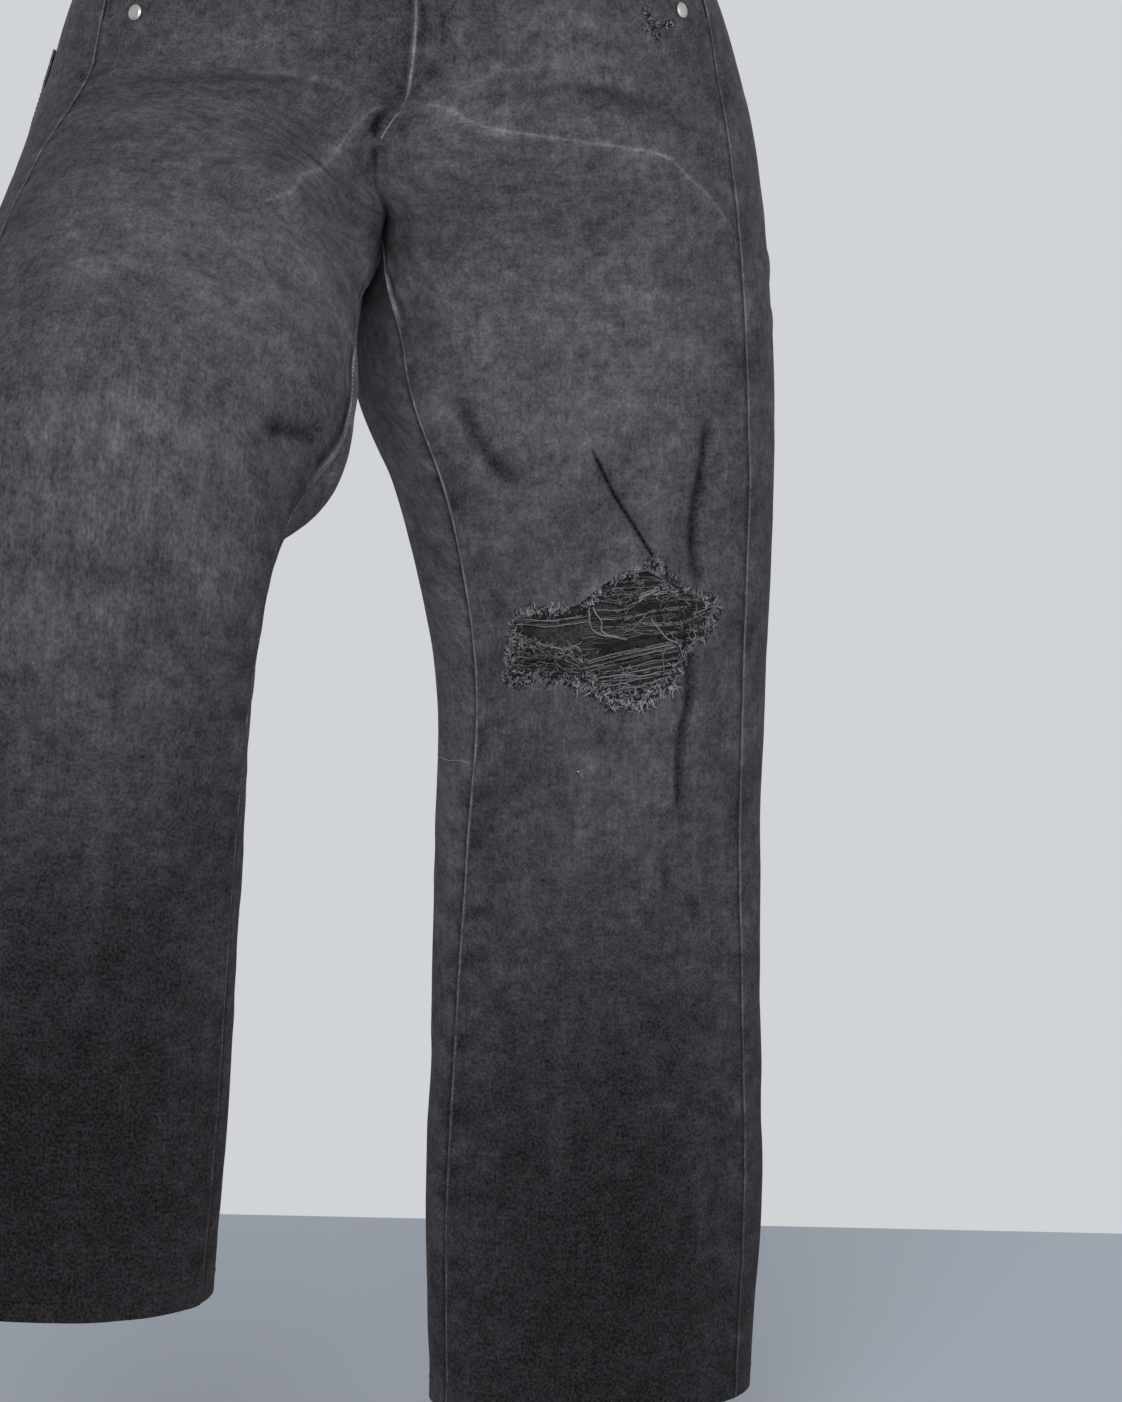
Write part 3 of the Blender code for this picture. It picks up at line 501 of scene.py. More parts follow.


# Fine relief, wear and painted shade and highlight, laid over the solids' own folds

# A crease: height out of the cloth (negative sinks), its reach on the line's upper and lower side, how
# much lighter or darker the cloth is along it, and its line. The lighter crests and whiskers are partly worn
# pale and partly painted highlight; the darker hollows are painted shade.
Crease = row_kind("Crease", "height upper lower shade* line~")
CREASES = {
    LEFT: table(
        Crease,
        # the hip fold's sharp crest, and the whiskers above it
        (0.3, 5, 7, 0.22, (191, 166, 171, 169, 144, 184, 112, 195, 73, 203, 54, 210, 41, 225, 23, 242, 4, 262)),
        (2, 9, 45, 0.08, (191, 166, 171, 169, 144, 184, 112, 195, 73, 203, 54, 210, 41, 225, 23, 242, 4, 262)),
        (0.9, 9, 10, 0.08, (132, 138, 109, 143, 87, 145, 62, 142)),
        (1.2, 8, 12, 0.1, (120, 158, 91, 156, 60, 160)),
        (1.1, 7, 10, 0.12, (66, 198, 47, 197, 26, 200)),
        (-1.2, 4, 5, -0.4, (187, 96, 187, 128)),
        (1.2, 6, 6, 0.28, (186, 130, 181, 144)),
        (-1, 4, 5, -0.3, (184, 146, 177, 153)),
        (1, 3, 4, 0.3, (185, 154, 181, 163)),
        (-1, 4, 5, -0.3, (177, 106, 174, 140)),
        (1, 5, 5, 0.22, (168, 118, 166, 140)),
        (1.4, 7, 8, 0.2, (176, 161, 158, 157, 144, 147, 133, 134, 125, 121, 113, 106)),
        (1.2, 5, 7, 0.15, (150, 150, 130, 149, 110, 148, 86, 156, 60, 164)),
        (-1.2, 8, 10, -0.16, (158, 166, 130, 164, 100, 164, 70, 172, 40, 178)),
        (-1, 8, 10, -0.12, (160, 140, 150, 122, 146, 100)),
        (1, 5, 7, 0.12, (124, 122, 100, 119, 70, 124)),
        (-0.8, 6, 8, -0.1, (120, 134, 96, 133, 60, 140)),
        (0.9, 6, 8, 0.12, (112, 100, 90, 104, 66, 102)),
        (0.8, 10, 10, 0.07, (108, 120, 85, 126, 60, 128)),
        (-1, 10, 12, -0.08, (100, 172, 70, 178, 40, 180)),
        # the thigh
        (1.2, 20, 22, 0.08, (104, 293, 82, 305, 55, 326, 38, 345)),
        (-1.4, 18, 18, -0.12, (118, 260, 100, 268, 88, 278)),
        (1.6, 24, 16, 0.12, (158, 400, 134, 382, 112, 367, 70, 362)),
        (1.2, 9, 9, 0.16, (30, 366, 18, 398, 13, 424)),
        # the shade between the yarns in the tear
        (0, 9, 12, -0.42, (104, 510, 88, 505, 70, 503, 46, 500)),
        (0, 7, 7, -0.4, (100, 473, 84, 471, 66, 466, 46, 475)),
        (0, 5, 5, -0.36, (94, 484, 76, 482, 56, 484, 32, 482)),
        (0, 7, 7, -0.36, (148, 506, 130, 508, 106, 512)),
        # above the torn knee
        (-2.4, 8, 8, -0.3, (188, 352, 175, 381, 158, 406)),
        (-2.6, 9, 7, -0.3, (168, 392, 158, 404, 146, 405)),
        (-2.2, 8, 7, -0.14, (104, 395, 94, 414, 80, 432, 67, 451)),
        (-1.6, 12, 12, -0.14, (128, 416, 112, 446)),
        (-2.8, 5, 7, -0.44, (30, 366, 36, 409, 39, 441, 35, 476)),
        # below it
        (-2.6, 5, 6, -0.42, (42, 494, 39, 530, 44, 552, 43, 600)),
        (-1.2, 10, 10, -0.16, (92, 536, 96, 560)),
        (1.4, 12, 14, 0.16, (98, 548, 104, 580, 109, 610, 115, 650)),
        (-1.8, 6, 7, -0.24, (51, 610, 51, 655)),
        (-1.6, 6, 6, -0.2, (42, 636, 34, 655, 27, 676)),
        # the shin
        (1.3, 10, 12, 0.2, (114, 700, 121, 769, 125, 852)),
        (1.3, 12, 10, 0.18, (86, 695, 74, 735, 64, 764, 40, 802)),
        (1, 10, 10, 0.16, (35, 774, 31, 884)),
        (-1.2, 16, 16, -0.1, (160, 700, 150, 760, 156, 830)),
        (-1, 16, 16, -0.08, (85, 830, 75, 880, 90, 930)),
        # the back: under the seat, behind the knee and down the calf
        (2, 10, 30, 0.12, (-60, 262, -130, 284, -200, 290, -280, 268)),
        (1.4, 10, 18, 0.08, (-50, 300, -120, 318, -190, 322)),
        (-2, 10, 14, -0.18, (-90, 340, -160, 352, -240, 340)),
        (2, 10, 16, 0.16, (-50, 452, -120, 468, -200, 466, -260, 450)),
        (-2.2, 10, 14, -0.2, (-70, 478, -150, 494, -250, 484)),
        (2, 10, 16, 0.16, (-60, 508, -140, 516, -230, 504)),
        (-2, 10, 14, -0.2, (-80, 532, -170, 536, -250, 552)),
        (1.6, 10, 20, 0.12, (-60, 568, -130, 584, -200, 578)),
        (-1.4, 18, 22, -0.1, (-110, 640, -150, 700, -140, 780)),
        (1.4, 16, 22, 0.12, (-210, 620, -220, 720, -200, 830)),
        (-1.2, 16, 18, -0.08, (-60, 840, -100, 880, -180, 890)),
    ),
    RIGHT: table(
        Crease,
        # the pull across the groin, and the hollow beside the fly's foot
        (0.3, 6, 9, 0.2, (186, 166, 177, 171, 174, 181, 167, 196, 158, 229, 158, 273, 160, 330)),
        (1.2, 10, 22, 0.12, (186, 166, 177, 171, 174, 181, 167, 196, 158, 229, 158, 273, 160, 330)),
        (-0.6, 10, 14, -0.14, (158, 186, 146, 210, 144, 250, 146, 300)),
        (1.2, 6, 9, 0.14, (172, 168, 160, 164, 150, 160, 128, 160, 104, 168)),
        (-4, 6, 5.5, -0.66, (189, 168, 187, 174, 190, 181, 195, 190)),
        (-2.6, 5, 5, -0.4, (194, 188, 198, 204)),
        (1.1, 10, 12, 0.08, (150, 128, 110, 136, 70, 132)),
        (-1.6, 14, 18, -0.1, (130, 196, 90, 206, 40, 214)),
        # the raised thigh and the knee
        (-2, 12, 14, -0.14, (165, 384, 186, 386, 212, 372)),
        (-3, 7, 8, -0.42, (180, 484, 203, 472, 224, 461, 236, 452)),
        (1.8, 12, 18, 0.12, (150, 420, 100, 410, 50, 420)),
        (2.2, 16, 20, 0.14, (170, 505, 110, 495, 50, 505)),
        (-1.6, 12, 16, -0.12, (150, 540, 100, 552, 50, 540)),
        # the shin
        (1.4, 12, 14, 0.16, (100, 640, 110, 720, 104, 800)),
        (-1.6, 10, 12, -0.16, (50, 610, 46, 680)),
        (1.2, 12, 12, 0.16, (60, 720, 50, 800, 58, 880)),
        (-1.2, 16, 16, -0.1, (150, 700, 146, 780, 152, 860)),
        # the back: the stretched seat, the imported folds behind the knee, the calf
        (1.6, 12, 24, 0.1, (-70, 290, -160, 320, -260, 300)),
        (-1.4, 16, 18, -0.1, (-80, 372, -170, 390, -270, 370)),
        (2.4, 9, 14, 0.16, (-40, 470, -110, 490, -190, 492, -260, 476)),
        (-2.8, 8, 12, -0.26, (-50, 500, -130, 514, -220, 512)),
        (2.6, 9, 13, 0.16, (-50, 526, -120, 534, -210, 532)),
        (-2.6, 8, 12, -0.26, (-60, 550, -140, 556, -230, 552)),
        (2, 10, 18, 0.14, (-60, 580, -140, 594, -220, 584)),
        (-1.4, 18, 22, -0.1, (-120, 660, -160, 740, -150, 820)),
        (1.4, 16, 22, 0.12, (-220, 640, -214, 760, -190, 860)),
    ),
}
CREASE_TAPER = 0.016
CREASE_DEPTH = 1.5
# Every crease's shade is scaled by this: painted highlight and wear on crests, painted shade in hollows.
CREASE_CONTRAST = 1.6

# Thin lines, drawn in the shader: pale where crests are worn, with painted highlight along them, and one dark
# line of painted shade in the crease above the torn knee: how much lighter, how wide, and the line.
WornAndShadedLine = row_kind("WornAndShadedLine", "gain* width line~")
WORN_AND_SHADED_LINES = {
    LEFT: table(
        WornAndShadedLine,
        (0.48, 1.4,
         (194, 165, 171, 168, 144, 183, 112, 194, 73, 202, 54, 209, 41, 224, 23, 241, 6, 258, 2, 276)),
        (-0.98, 2.2, (108.5, 385, 93, 414, 80, 432, 62, 459)),
    ),
    RIGHT: table(
        WornAndShadedLine,
        (0.52, 1.7, (188, 166, 179, 170, 175, 179, 168, 195, 159, 229, 158, 273, 163, 310, 160, 325, 150, 340)),
    ),
}
LINE_REACH = 0.014
LINE_TAPER = 0.012
# The distance, in a line's widths, that stands for no line nearby
NO_LINE = 9.0

# How light the cloth is, as the share of light it returns, down the front, the sides and the back.
Fade = namedtuple("Fade", "down front side back")
FADES = (
    Fade(0.000, 0.0492, 0.0476, 0.0540),
    Fade(0.120, 0.0656, 0.0544, 0.0684),
    Fade(0.200, 0.0679, 0.0544, 0.0791),
    Fade(0.300, 0.0744, 0.0572, 0.0736),
    Fade(0.400, 0.0792, 0.0581, 0.0646),
    Fade(0.470, 0.0740, 0.0581, 0.0608),
    Fade(0.530, 0.0708, 0.0576, 0.0608),
    Fade(0.590, 0.0662, 0.0558, 0.0589),
    Fade(0.660, 0.0470, 0.0482, 0.0522),
    Fade(0.720, 0.0310, 0.0400, 0.0442),
    Fade(0.790, 0.0213, 0.0333, 0.0368),
    Fade(0.880, 0.0161, 0.0280, 0.0300),
    Fade(0.968, 0.0173, 0.0274, 0.0285),
)
FADE_WIDTH = 0.075
LEG_TONE = {LEFT: 1.0, RIGHT: 0.86}
# Unevenness of the fading: strength, width, height, place and seed of each size of cloud.
CLOUDS = (
    (0.11, 0.055, 0.075, 20.0, 3),
    (0.09, 0.018, 0.026, 9.0, 8),
    (0.06, 0.008, 0.012, 3.0, 14),
)

# Painted light on places that lie in shade: the back beside the inner seam, the groin, the right thigh's
# inner flank and the cleft between the thighs are made lighter. How much lighter, how far from the inner
# seam, and between which levels.
INNER_LIFT, INNER_START, INNER_WIDTH = 0.40, 0.030, 0.080
GROIN_LIFT, GROIN_WIDTH = 0.45, 0.090
CLEFT_LIFT, CLEFT_WIDTH = 1.3, 0.024
FLANK_LIFT, FLANK_WIDTH = 0.40, 0.055
FLANK_DOWN = (0.220, 0.260, 0.380, 0.440)
CLEFT_DOWN = (0.205, 0.225, 0.270, 0.310)
GROIN_LIFT_DOWN = (0.150, 0.200, 0.340, 0.460)

# Seams: how wide the folded allowance is, how far it lifts the cloth and how it puckers.
SEAM_PLATEAU = 0.0085
SEAM_FALL = 0.004
SEAM_LIFT = 0.0006
PUCKER_PITCH = 0.0100
PUCKER_LEAN = 60.0
PUCKER_START = 0.003
PUCKER_HEIGHT = 0.0008
PUCKER_REACH = 0.024

# The pale line worn along a seam's fold, and the painted shade beside it in the seam's groove.
EDGE_WEAR = 1.90
WORN_AT = 0.0010
WORN_WIDTH = 0.0007
SEAM_SHADE = 0.60
SHADE_WIDTH = 0.0024
DARKEST_TONE = 0.15

# The hem's rope: how far apart its turns are, how they lean and how far up they reach.
ROPE_PITCH = 0.014
ROPE_LEAN = 0.020
ROPE_HEIGHT = 0.026

# The raised leg's front is packed together in the groin, which flattens its creases.
CALM = 0.92
CALM_DOWN = (0.165, 0.205, 0.280, 0.320)

# The front's centre seam: how worn its edge is going down, and where the crotch pinches it.
CENTRE_DOWN = (0.000, 0.150, 0.162, 0.170, 0.173, 0.188, 0.192, 0.218, 0.235)
CENTRE_WORN = {
    LEFT: (1.6, 1.5, 0.6, 0.2, 2.2, 2.2, 0.2, 0.3, 1.2),
    RIGHT: (0.3, 0.3, 0.2, 0.1, 0.4, 0.4, 0.1, 0.2, 1.0),
}
ZIP_SHADE = 0.42
PINCH_SHADE = 0.80
PINCH_WIDTH = 0.0030
PINCH_DOWN = (0.188, 0.195, 0.212, 0.222)

# Where the inseam lies in shade between the thighs: a wide painted highlight along the front's edge, and
# painted shade beside it.
CLEFT_SEAM_HIGHLIGHT = 2.4
CLEFT_SEAM_SHADE = 0.7
CLEFT_SEAM_DOWN = {LEFT: (0.212, 0.224, 0.285, 0.310), RIGHT: (0.350, 0.375, 0.455, 0.485)}

# The thighs' inner sides, pressed out towards each other.
THIGH_BULGE = {LEFT: 0.0155, RIGHT: 0.004}
THIGH_AT = {LEFT: 0.085, RIGHT: 0.026}
THIGH_WIDE = {LEFT: 0.045, RIGHT: 0.026}
THIGH_DOWN = {LEFT: (0.235, 0.290, 0.318, 0.395), RIGHT: (0.320, 0.370, 0.440, 0.490)}

NOISE_CELLS = 64


def lattice_noise(across, along, seed):
    """Smooth noise from -1 to 1, one bump to each unit step."""
    lattice = np.random.default_rng(seed).uniform(-1.0, 1.0, (NOISE_CELLS, NOISE_CELLS))
    i, j = np.floor(across).astype(int), np.floor(along).astype(int)
    s, t = ease(across - i), ease(along - j)
    i, j = i % NOISE_CELLS, j % NOISE_CELLS
    i1, j1 = (i + 1) % NOISE_CELLS, (j + 1) % NOISE_CELLS
    near = lattice[i, j] * (1.0 - t) + lattice[i, j1] * t
    far = lattice[i1, j] * (1.0 - t) + lattice[i1, j1] * t
    return near * (1.0 - s) + far * s


def run_noise(along, row, seed):
    """The same noise along one line only."""
    return lattice_noise(along, np.zeros_like(along) + row, seed)


def edge_distances(side, girth, down):
    """Distances from the outseam and from the inner seam, both positive."""
    surface = HALVES[side]
    front = girth > 0.0
    end = np.where(front, surface.end(down, True), -surface.end(down, False))
    return np.abs(girth), end - np.abs(girth)


def pucker(down, distance, seed):
    """Uneven bumps that lean across a seam's edge, and fade away from it."""
    slant = down / PUCKER_PITCH + distance * PUCKER_LEAN
    bump = lattice_noise(np.zeros_like(down) + 0.5, slant, seed)
    bump = bump + 0.5 * lattice_noise(np.zeros_like(down) + 7.5, slant * 2.3, seed)
    return bump * ease(distance / PUCKER_START) * fading(distance, 0.0, PUCKER_REACH)


def faded_tone_with_painted_light(side, girth, down):
    """The share of light returned by the cloth, before creases and puckers.

    Painted light raises it where the thighs and the groin lie in shade.
    """
    levels = [row.down for row in FADES]
    columns = ([getattr(row, label) for row in FADES] for label in ("front", "side", "back"))
    front, flank, back = (smooth_curve(down, levels, shares) for shares in columns)
    out, inner = edge_distances(side, girth, down)
    ahead = girth > 0.0
    tone = flank + (np.where(ahead, front, back) - flank) * ease(np.minimum(out, inner) / FADE_WIDTH)
    # Painted light: lighter where the back, the groin, the right thigh's flank and the cleft lie in shade
    tone = tone * np.where(ahead, 1.0, 1.0 + INNER_LIFT * fading(inner, INNER_START, INNER_WIDTH))
    tone = tone * (1.0 + GROIN_LIFT * span(down, GROIN_LIFT_DOWN) * fading(inner, 0.0, GROIN_WIDTH))
    if side == RIGHT:
        tone = tone * (1.0 + FLANK_LIFT * span(down, FLANK_DOWN) * bell(inner, 0.0, FLANK_WIDTH))
    tone = tone * (1.0 + CLEFT_LIFT * span(down, CLEFT_DOWN) * ahead * bell(inner, 0.0, CLEFT_WIDTH))
    cloud = sum(
        strength * lattice_noise(girth / wide + shift, down / tall, seed + side)
        for strength, wide, tall, shift, seed in CLOUDS
    )
    return tone * (1.0 + cloud) * LEG_TONE[side]


def relief(side, girth, down):
    """(height, tone): the fine creases, puckers and seam ridges, and how light the cloth is.

    The tone holds painted shade and highlight along creases and seams, and painted light between the thighs.
    """
    girth, down = np.asarray(girth, float), np.asarray(down, float)
    out, inner = edge_distances(side, girth, down)
    front = girth > 0.0
    height, gain = creased(side, girth, down)
    if side == RIGHT:
        height = height * (1.0 - CALM * span(down, CALM_DOWN) * front)
    behind = np.where(front, -inner, inner)
    bulge = THIGH_BULGE[side] * bell(behind, THIGH_AT[side], THIGH_WIDE[side])
    height = height + bulge * span(down, THIGH_DOWN[side])
    for lift, shade in (
        inner_seam(side, front, inner, down),
        outer_seam(side, front, out, down),
        hem_rope(side, girth, down),
    ):
        height, gain = height + lift, gain + shade
    return height, faded_tone_with_painted_light(side, girth, down) * np.maximum(DARKEST_TONE, 1.0 + gain)


def creased(side, girth, down):
    """The creases, over a faint unevenness of the whole cloth.

    Their gain is painted shade in the hollows, and wear with painted highlight on the crests.
    """
    height = 0.0005 * lattice_noise(girth / 0.030 + 30.0, down / 0.038, 5 + side)
    height = height + 0.00025 * lattice_noise(girth / 0.012 + 40.0, down / 0.016, 6 + side)
    gain = np.zeros_like(height)
    for crease in CREASES[side]:
        line = smooth_line(crease.line)
        near = close_to(girth, down, line, max(crease.upper, crease.lower))
        away, along, length = beside_line(girth[near], down[near], line)
        rise = ease(1.0 - np.abs(away) / np.where(away < 0.0, crease.upper, crease.lower))
        taper = tapered(along, length, min(CREASE_TAPER, 0.4 * length))
        height[near] += CREASE_DEPTH * crease.height * rise * taper
        gain[near] += CREASE_CONTRAST * crease.shade * rise**1.5 * taper
    return height, gain


def seam_wear(distance, down, pitch, row, seed):
    """The patchy pale line worn along a seam's folded edge."""
    patchy = 0.75 + 0.35 * run_noise(down / pitch, row, seed)
    return patchy * EDGE_WEAR * bell(distance, WORN_AT, WORN_WIDTH)


def inner_seam(side, front, inner, down):
    """The front's edge is folded over the back's, and worn along its fold.

    The back beside it gets painted shade; where the seam lies in shade between the thighs, the front's edge
    gets a painted highlight with painted shade beside it.
    """
    bump = pucker(down, inner, 11 + side)
    ridge = SEAM_LIFT * fading(inner, SEAM_PLATEAU, SEAM_FALL)
    height = np.where(front, ridge, 0.0) + np.where(front, 1.0, 0.5) * PUCKER_HEIGHT * bump
    worn = seam_wear(inner, down, 0.009, 0.5, 51 + side) * np.interp(down, CENTRE_DOWN, CENTRE_WORN[side])
    gain = np.where(front, 0.55, 0.30) * bump
    gain = gain + np.where(front, worn, -SEAM_SHADE * bell(inner, 0.0, SHADE_WIDTH))
    # Painted highlight along the front's edge, and painted shade beside it, where the thighs shade the seam
    cleft_paint = CLEFT_SEAM_HIGHLIGHT * bell(inner, 0.0030, 0.0024) - CLEFT_SEAM_SHADE * bell(inner, 0.0090, 0.0030)
    gain = gain + front * span(down, CLEFT_SEAM_DOWN[side]) * cleft_paint
    if side == RIGHT:
        gain = gain - ZIP_SHADE * front * bell(inner, 0.0034, 0.0016) * fading(down, 0.150, 0.015)
    return height, gain - PINCH_SHADE * front * span(down, PINCH_DOWN) * bell(inner, 0.0, PINCH_WIDTH)


def outer_seam(side, front, out, down):
    """The outseam is opened flat and worn along the back's edge, with painted shade along the front's edge."""
    bump = pucker(down * 0.62, out, 21 + side)
    height = 0.5 * SEAM_LIFT * fading(out, SEAM_PLATEAU, SEAM_FALL) + 0.7 * PUCKER_HEIGHT * bump
    worn = seam_wear(out, down, 0.011, 2.5, 51 + side)
    return height, 0.46 * bump + np.where(front, -SEAM_SHADE * bell(out, 0.0, SHADE_WIDTH), worn)


def hem_rope(side, girth, down):
    """The hem is roped where its fold is stitched down."""
    above = HEM - down
    rope = run_noise(girth / ROPE_PITCH - above / ROPE_LEAN, 0.5, 31 + side)
    near = fading(above, 0.0, ROPE_HEIGHT)
    return near * (0.0004 + 0.0006 * rope), near * (0.10 + 0.30 * rope)


def worn_and_shaded_line(side, girth, down):
    """(distance in widths, gain) of the nearest thin line.

    Pale lines are wear with painted highlight; dark ones are painted shade.
    """
    best = np.full(np.shape(girth), LINE_REACH)
    widths, gains = np.full(np.shape(girth), NO_LINE), np.zeros(np.shape(girth))
    for wear in WORN_AND_SHADED_LINES[side]:
        line = smooth_line(wear.line)
        near = np.flatnonzero(close_to(girth, down, line, LINE_REACH))
        away, along, length = beside_line(girth[near], down[near], line)
        taper = tapered(along, length, LINE_TAPER) * fading(np.abs(away), 0.003, 0.003)
        nearer = np.abs(away) < best[near]
        near, away, taper = near[nearer], away[nearer], taper[nearer]
        widths[near] = away / wear.width
        gains[near] = wear.gain * taper
        best[near] = np.abs(away)
    return widths, gains


# Meshes


def add_object(name, data):
    made = bpy.data.objects.new(name, data)
    bpy.context.scene.collection.objects.link(made)
    return made


def add_attribute(mesh, name, values):
    layer = mesh.attributes.new(name, "FLOAT", "POINT")
    layer.data.foreach_set("value", np.ascontiguousarray(values, dtype=np.float32))


def add_mesh(name, points, faces, materials, attributes, face_slots=None, places=None):
    """A mesh object. Places are (girth, down) for its texture map."""
    mesh = bpy.data.meshes.new(name)
    mesh.from_pydata(points.tolist(), [], faces.tolist())
    mesh.polygons.foreach_set("use_smooth", [True] * len(mesh.polygons))
    for label, values in attributes.items():
        add_attribute(mesh, label, values)
    for material in materials:
        mesh.materials.append(material)
    if face_slots is not None:
        mesh.polygons.foreach_set("material_index", face_slots)
    if places is not None:
        corners = np.empty(len(mesh.loops), np.int32)
        mesh.loops.foreach_get("vertex_index", corners)
        layer = mesh.uv_layers.new(name="cloth")
        layer.data.foreach_set("uv", np.ascontiguousarray(places[corners], np.float32).ravel())
    mesh.set_sharp_from_angle(angle=math.radians(55.0))
    return add_object(name, mesh)


def grid_faces(rows, columns):
    index = np.arange(rows * columns).reshape(rows, columns)
    corners = (index[:-1, :-1], index[:-1, 1:], index[1:, 1:], index[1:, :-1])
    return np.stack(corners, -1).reshape(-1, 4)


def inside(girth, down, outline):
    hit = np.zeros(np.shape(girth), bool)
    for (g0, d0), (g1, d1) in zip(outline, outline[1:] + outline[:1]):
        crosses = (d0 > down) != (d1 > down)
        reach = (g1 - g0) * (down - d0) / (d1 - d0 if d1 != d0 else 1e-12) + g0
        hit ^= crosses & (girth < reach)
    return hit


def nearest_on(girth, down, outline):
    """The nearest places on a closed outline."""
    best = np.full(len(girth), 1e9)
    found = np.stack([girth, down], -1)
    for (g0, d0), (g1, d1) in zip(outline, outline[1:] + outline[:1]):
        run, drop = g1 - g0, d1 - d0
        share = ((girth - g0) * run + (down - d0) * drop) / max(run**2 + drop**2, 1e-12)
        share = np.clip(share, 0.0, 1.0)
        near = np.stack([g0 + share * run, d0 + share * drop], -1)
        away = np.hypot(girth - near[:, 0], down - near[:, 1])
        found = np.where((away < best)[:, None], near, found)
        best = np.minimum(best, away)
    return found


def open_edges(faces):
    """Edges that only one face uses, in that face's direction."""
    ends = np.concatenate([faces[:, [k, (k + 1) % 4]] for k in range(4)])
    key = np.sort(ends, axis=1)
    _, first, count = np.unique(key, axis=0, return_index=True, return_counts=True)
    return ends[first[count == 1]]


def add_wall(name, outer, inner, faces, materials, tone, places, lines=None):
    """A closed wall of cloth between two skins of the same faces. Lines are (distance in widths, gain)."""
    a, b, c, _ = faces[len(faces) // 2]
    facing = np.dot(np.cross(outer[b] - outer[a], outer[c] - outer[b]), outer[a] - inner[a])
    faces = faces if facing > 0.0 else faces[:, ::-1]
    count = len(outer)
    rim = open_edges(faces)
    rim_faces = np.stack([rim[:, 1], rim[:, 0], rim[:, 0] + count, rim[:, 1] + count], -1)
    all_faces = np.vstack([faces, faces[:, ::-1] + count, rim_faces])
    slots = np.zeros(len(all_faces), np.int32)
    slots[len(faces) : 2 * len(faces)] = len(materials) - 1
    values = {label: np.tile(value, 2) for label, value in cloth_values(tone, lines).items()}
    points, places = np.vstack([outer, inner]), np.tile(places, (2, 1))
    return add_mesh(name, points, all_faces, materials, values, slots, places)


def cloth_values(tone, lines=None):
    """What the denim's material reads at each point."""
    widths, gains = lines or (np.full(len(tone), NO_LINE), np.zeros(len(tone)))
    return {"tone": tone, "line": widths, "line_gain": gains}


def cloth_piece(name, side, girth, down, out, thick, materials, cuts=(), keep=None, extra=None):
    """A wall of cloth over a grid of places.

    Cuts are outlines taken out of it, keep leaves only what is in one, and extra gives more height and gain.
    """
    rows, columns = girth.shape
    girth, down = girth.ravel(), down.ravel()
    faces = grid_faces(rows, columns)
    for outline in (*cuts, *([keep] if keep else [])):
        within = inside(girth[faces].mean(1), down[faces].mean(1), outline)
        edge = set() if outline is keep else set(np.unique(open_edges(faces)).tolist())
        faces = faces[within] if outline is keep else faces[~within]
        loose = np.array(sorted(set(np.unique(open_edges(faces)).tolist()) - edge))
        snapped = nearest_on(girth[loose], down[loose], outline)
        girth[loose], down[loose] = snapped[:, 0], snapped[:, 1]
    used, faces = np.unique(faces, return_inverse=True)
    faces = faces.reshape(-1, 4)
    girth, down = girth[used], down[used]
    height, tone = relief(side, girth, down)
    if extra:
        more, gain = extra(girth, down)
        height, tone = height + more, tone * (1.0 + gain)
    surface = HALVES[side]
    outer = surface.at(girth, down, out + height)
    inner = surface.at(girth, down, out + height - thick)
    places = np.stack([girth, down], -1)
    return add_wall(name, outer, inner, faces, materials, tone, places, worn_and_shaded_line(side, girth, down))


def tubes(paths, radii, sides):
    """Points and faces of tubes, their ends closed when they have four sides. Paths are (tubes, steps, 3) and
    radii (tubes, steps).
    """
    count, steps = paths.shape[:2]
    along = np.gradient(paths, axis=1)
    along /= np.maximum(np.linalg.norm(along, axis=2, keepdims=True), 1e-12)
    guide = np.array([0.31, -0.52, 0.79])
    across = np.cross(along, guide)
    across /= np.maximum(np.linalg.norm(across, axis=2, keepdims=True), 1e-12)
    other = np.cross(along, across)
    turn = np.arange(sides) * (2.0 * math.pi / sides)
    ring = across[:, :, None] * np.cos(turn)[None, None, :, None]
    ring = ring + other[:, :, None] * np.sin(turn)[None, None, :, None]
    points = paths[:, :, None] + ring * radii[:, :, None, None]
    index = np.arange(count * steps * sides).reshape(count, steps, sides)
    turned = np.roll(index, -1, axis=2)
    walls = np.stack([index[:, :-1], turned[:, :-1], turned[:, 1:], index[:, 1:]], -1).reshape(-1, 4)
    caps = []
    if sides == 4:
        caps = [index[:, 0, ::-1].reshape(-1, 4), index[:, -1].reshape(-1, 4)]
    return points.reshape(-1, 3), np.vstack([walls, *caps])


# Materials. Every colour is the share of light returned.


def node(tree, kind, **settings):
    made = tree.nodes.new(kind)
    for label, value in settings.items():
        setattr(made, label, value)
    return made


def wire(tree, source, target):
    tree.links.new(source, target)


def calculate(tree, operation, first, second=None, third=None):
    """A math node. Each input is a number or a socket."""
    made = node(tree, "ShaderNodeMath", operation=operation)
    for k, value in enumerate((first, second, third)):
        if value is None:
            continue
        if hasattr(value, "is_linked"):
            wire(tree, value, made.inputs[k])
        else:
            made.inputs[k].default_value = value
    return made.outputs[0]


def scaled(tree, vector, across, along, depth=1.0):
    made = node(tree, "ShaderNodeMapping")
    made.inputs["Scale"].default_value = (across, along, depth)
    wire(tree, vector, made.inputs["Vector"])
    return made.outputs[0]


def noise(tree, vector, scale, detail=2.0, roughness=0.5):
    made = node(tree, "ShaderNodeTexNoise")
    made.inputs["Scale"].default_value = scale
    made.inputs["Detail"].default_value = detail
    made.inputs["Roughness"].default_value = roughness
    wire(tree, vector, made.inputs["Vector"])
    return made.outputs["Fac"]


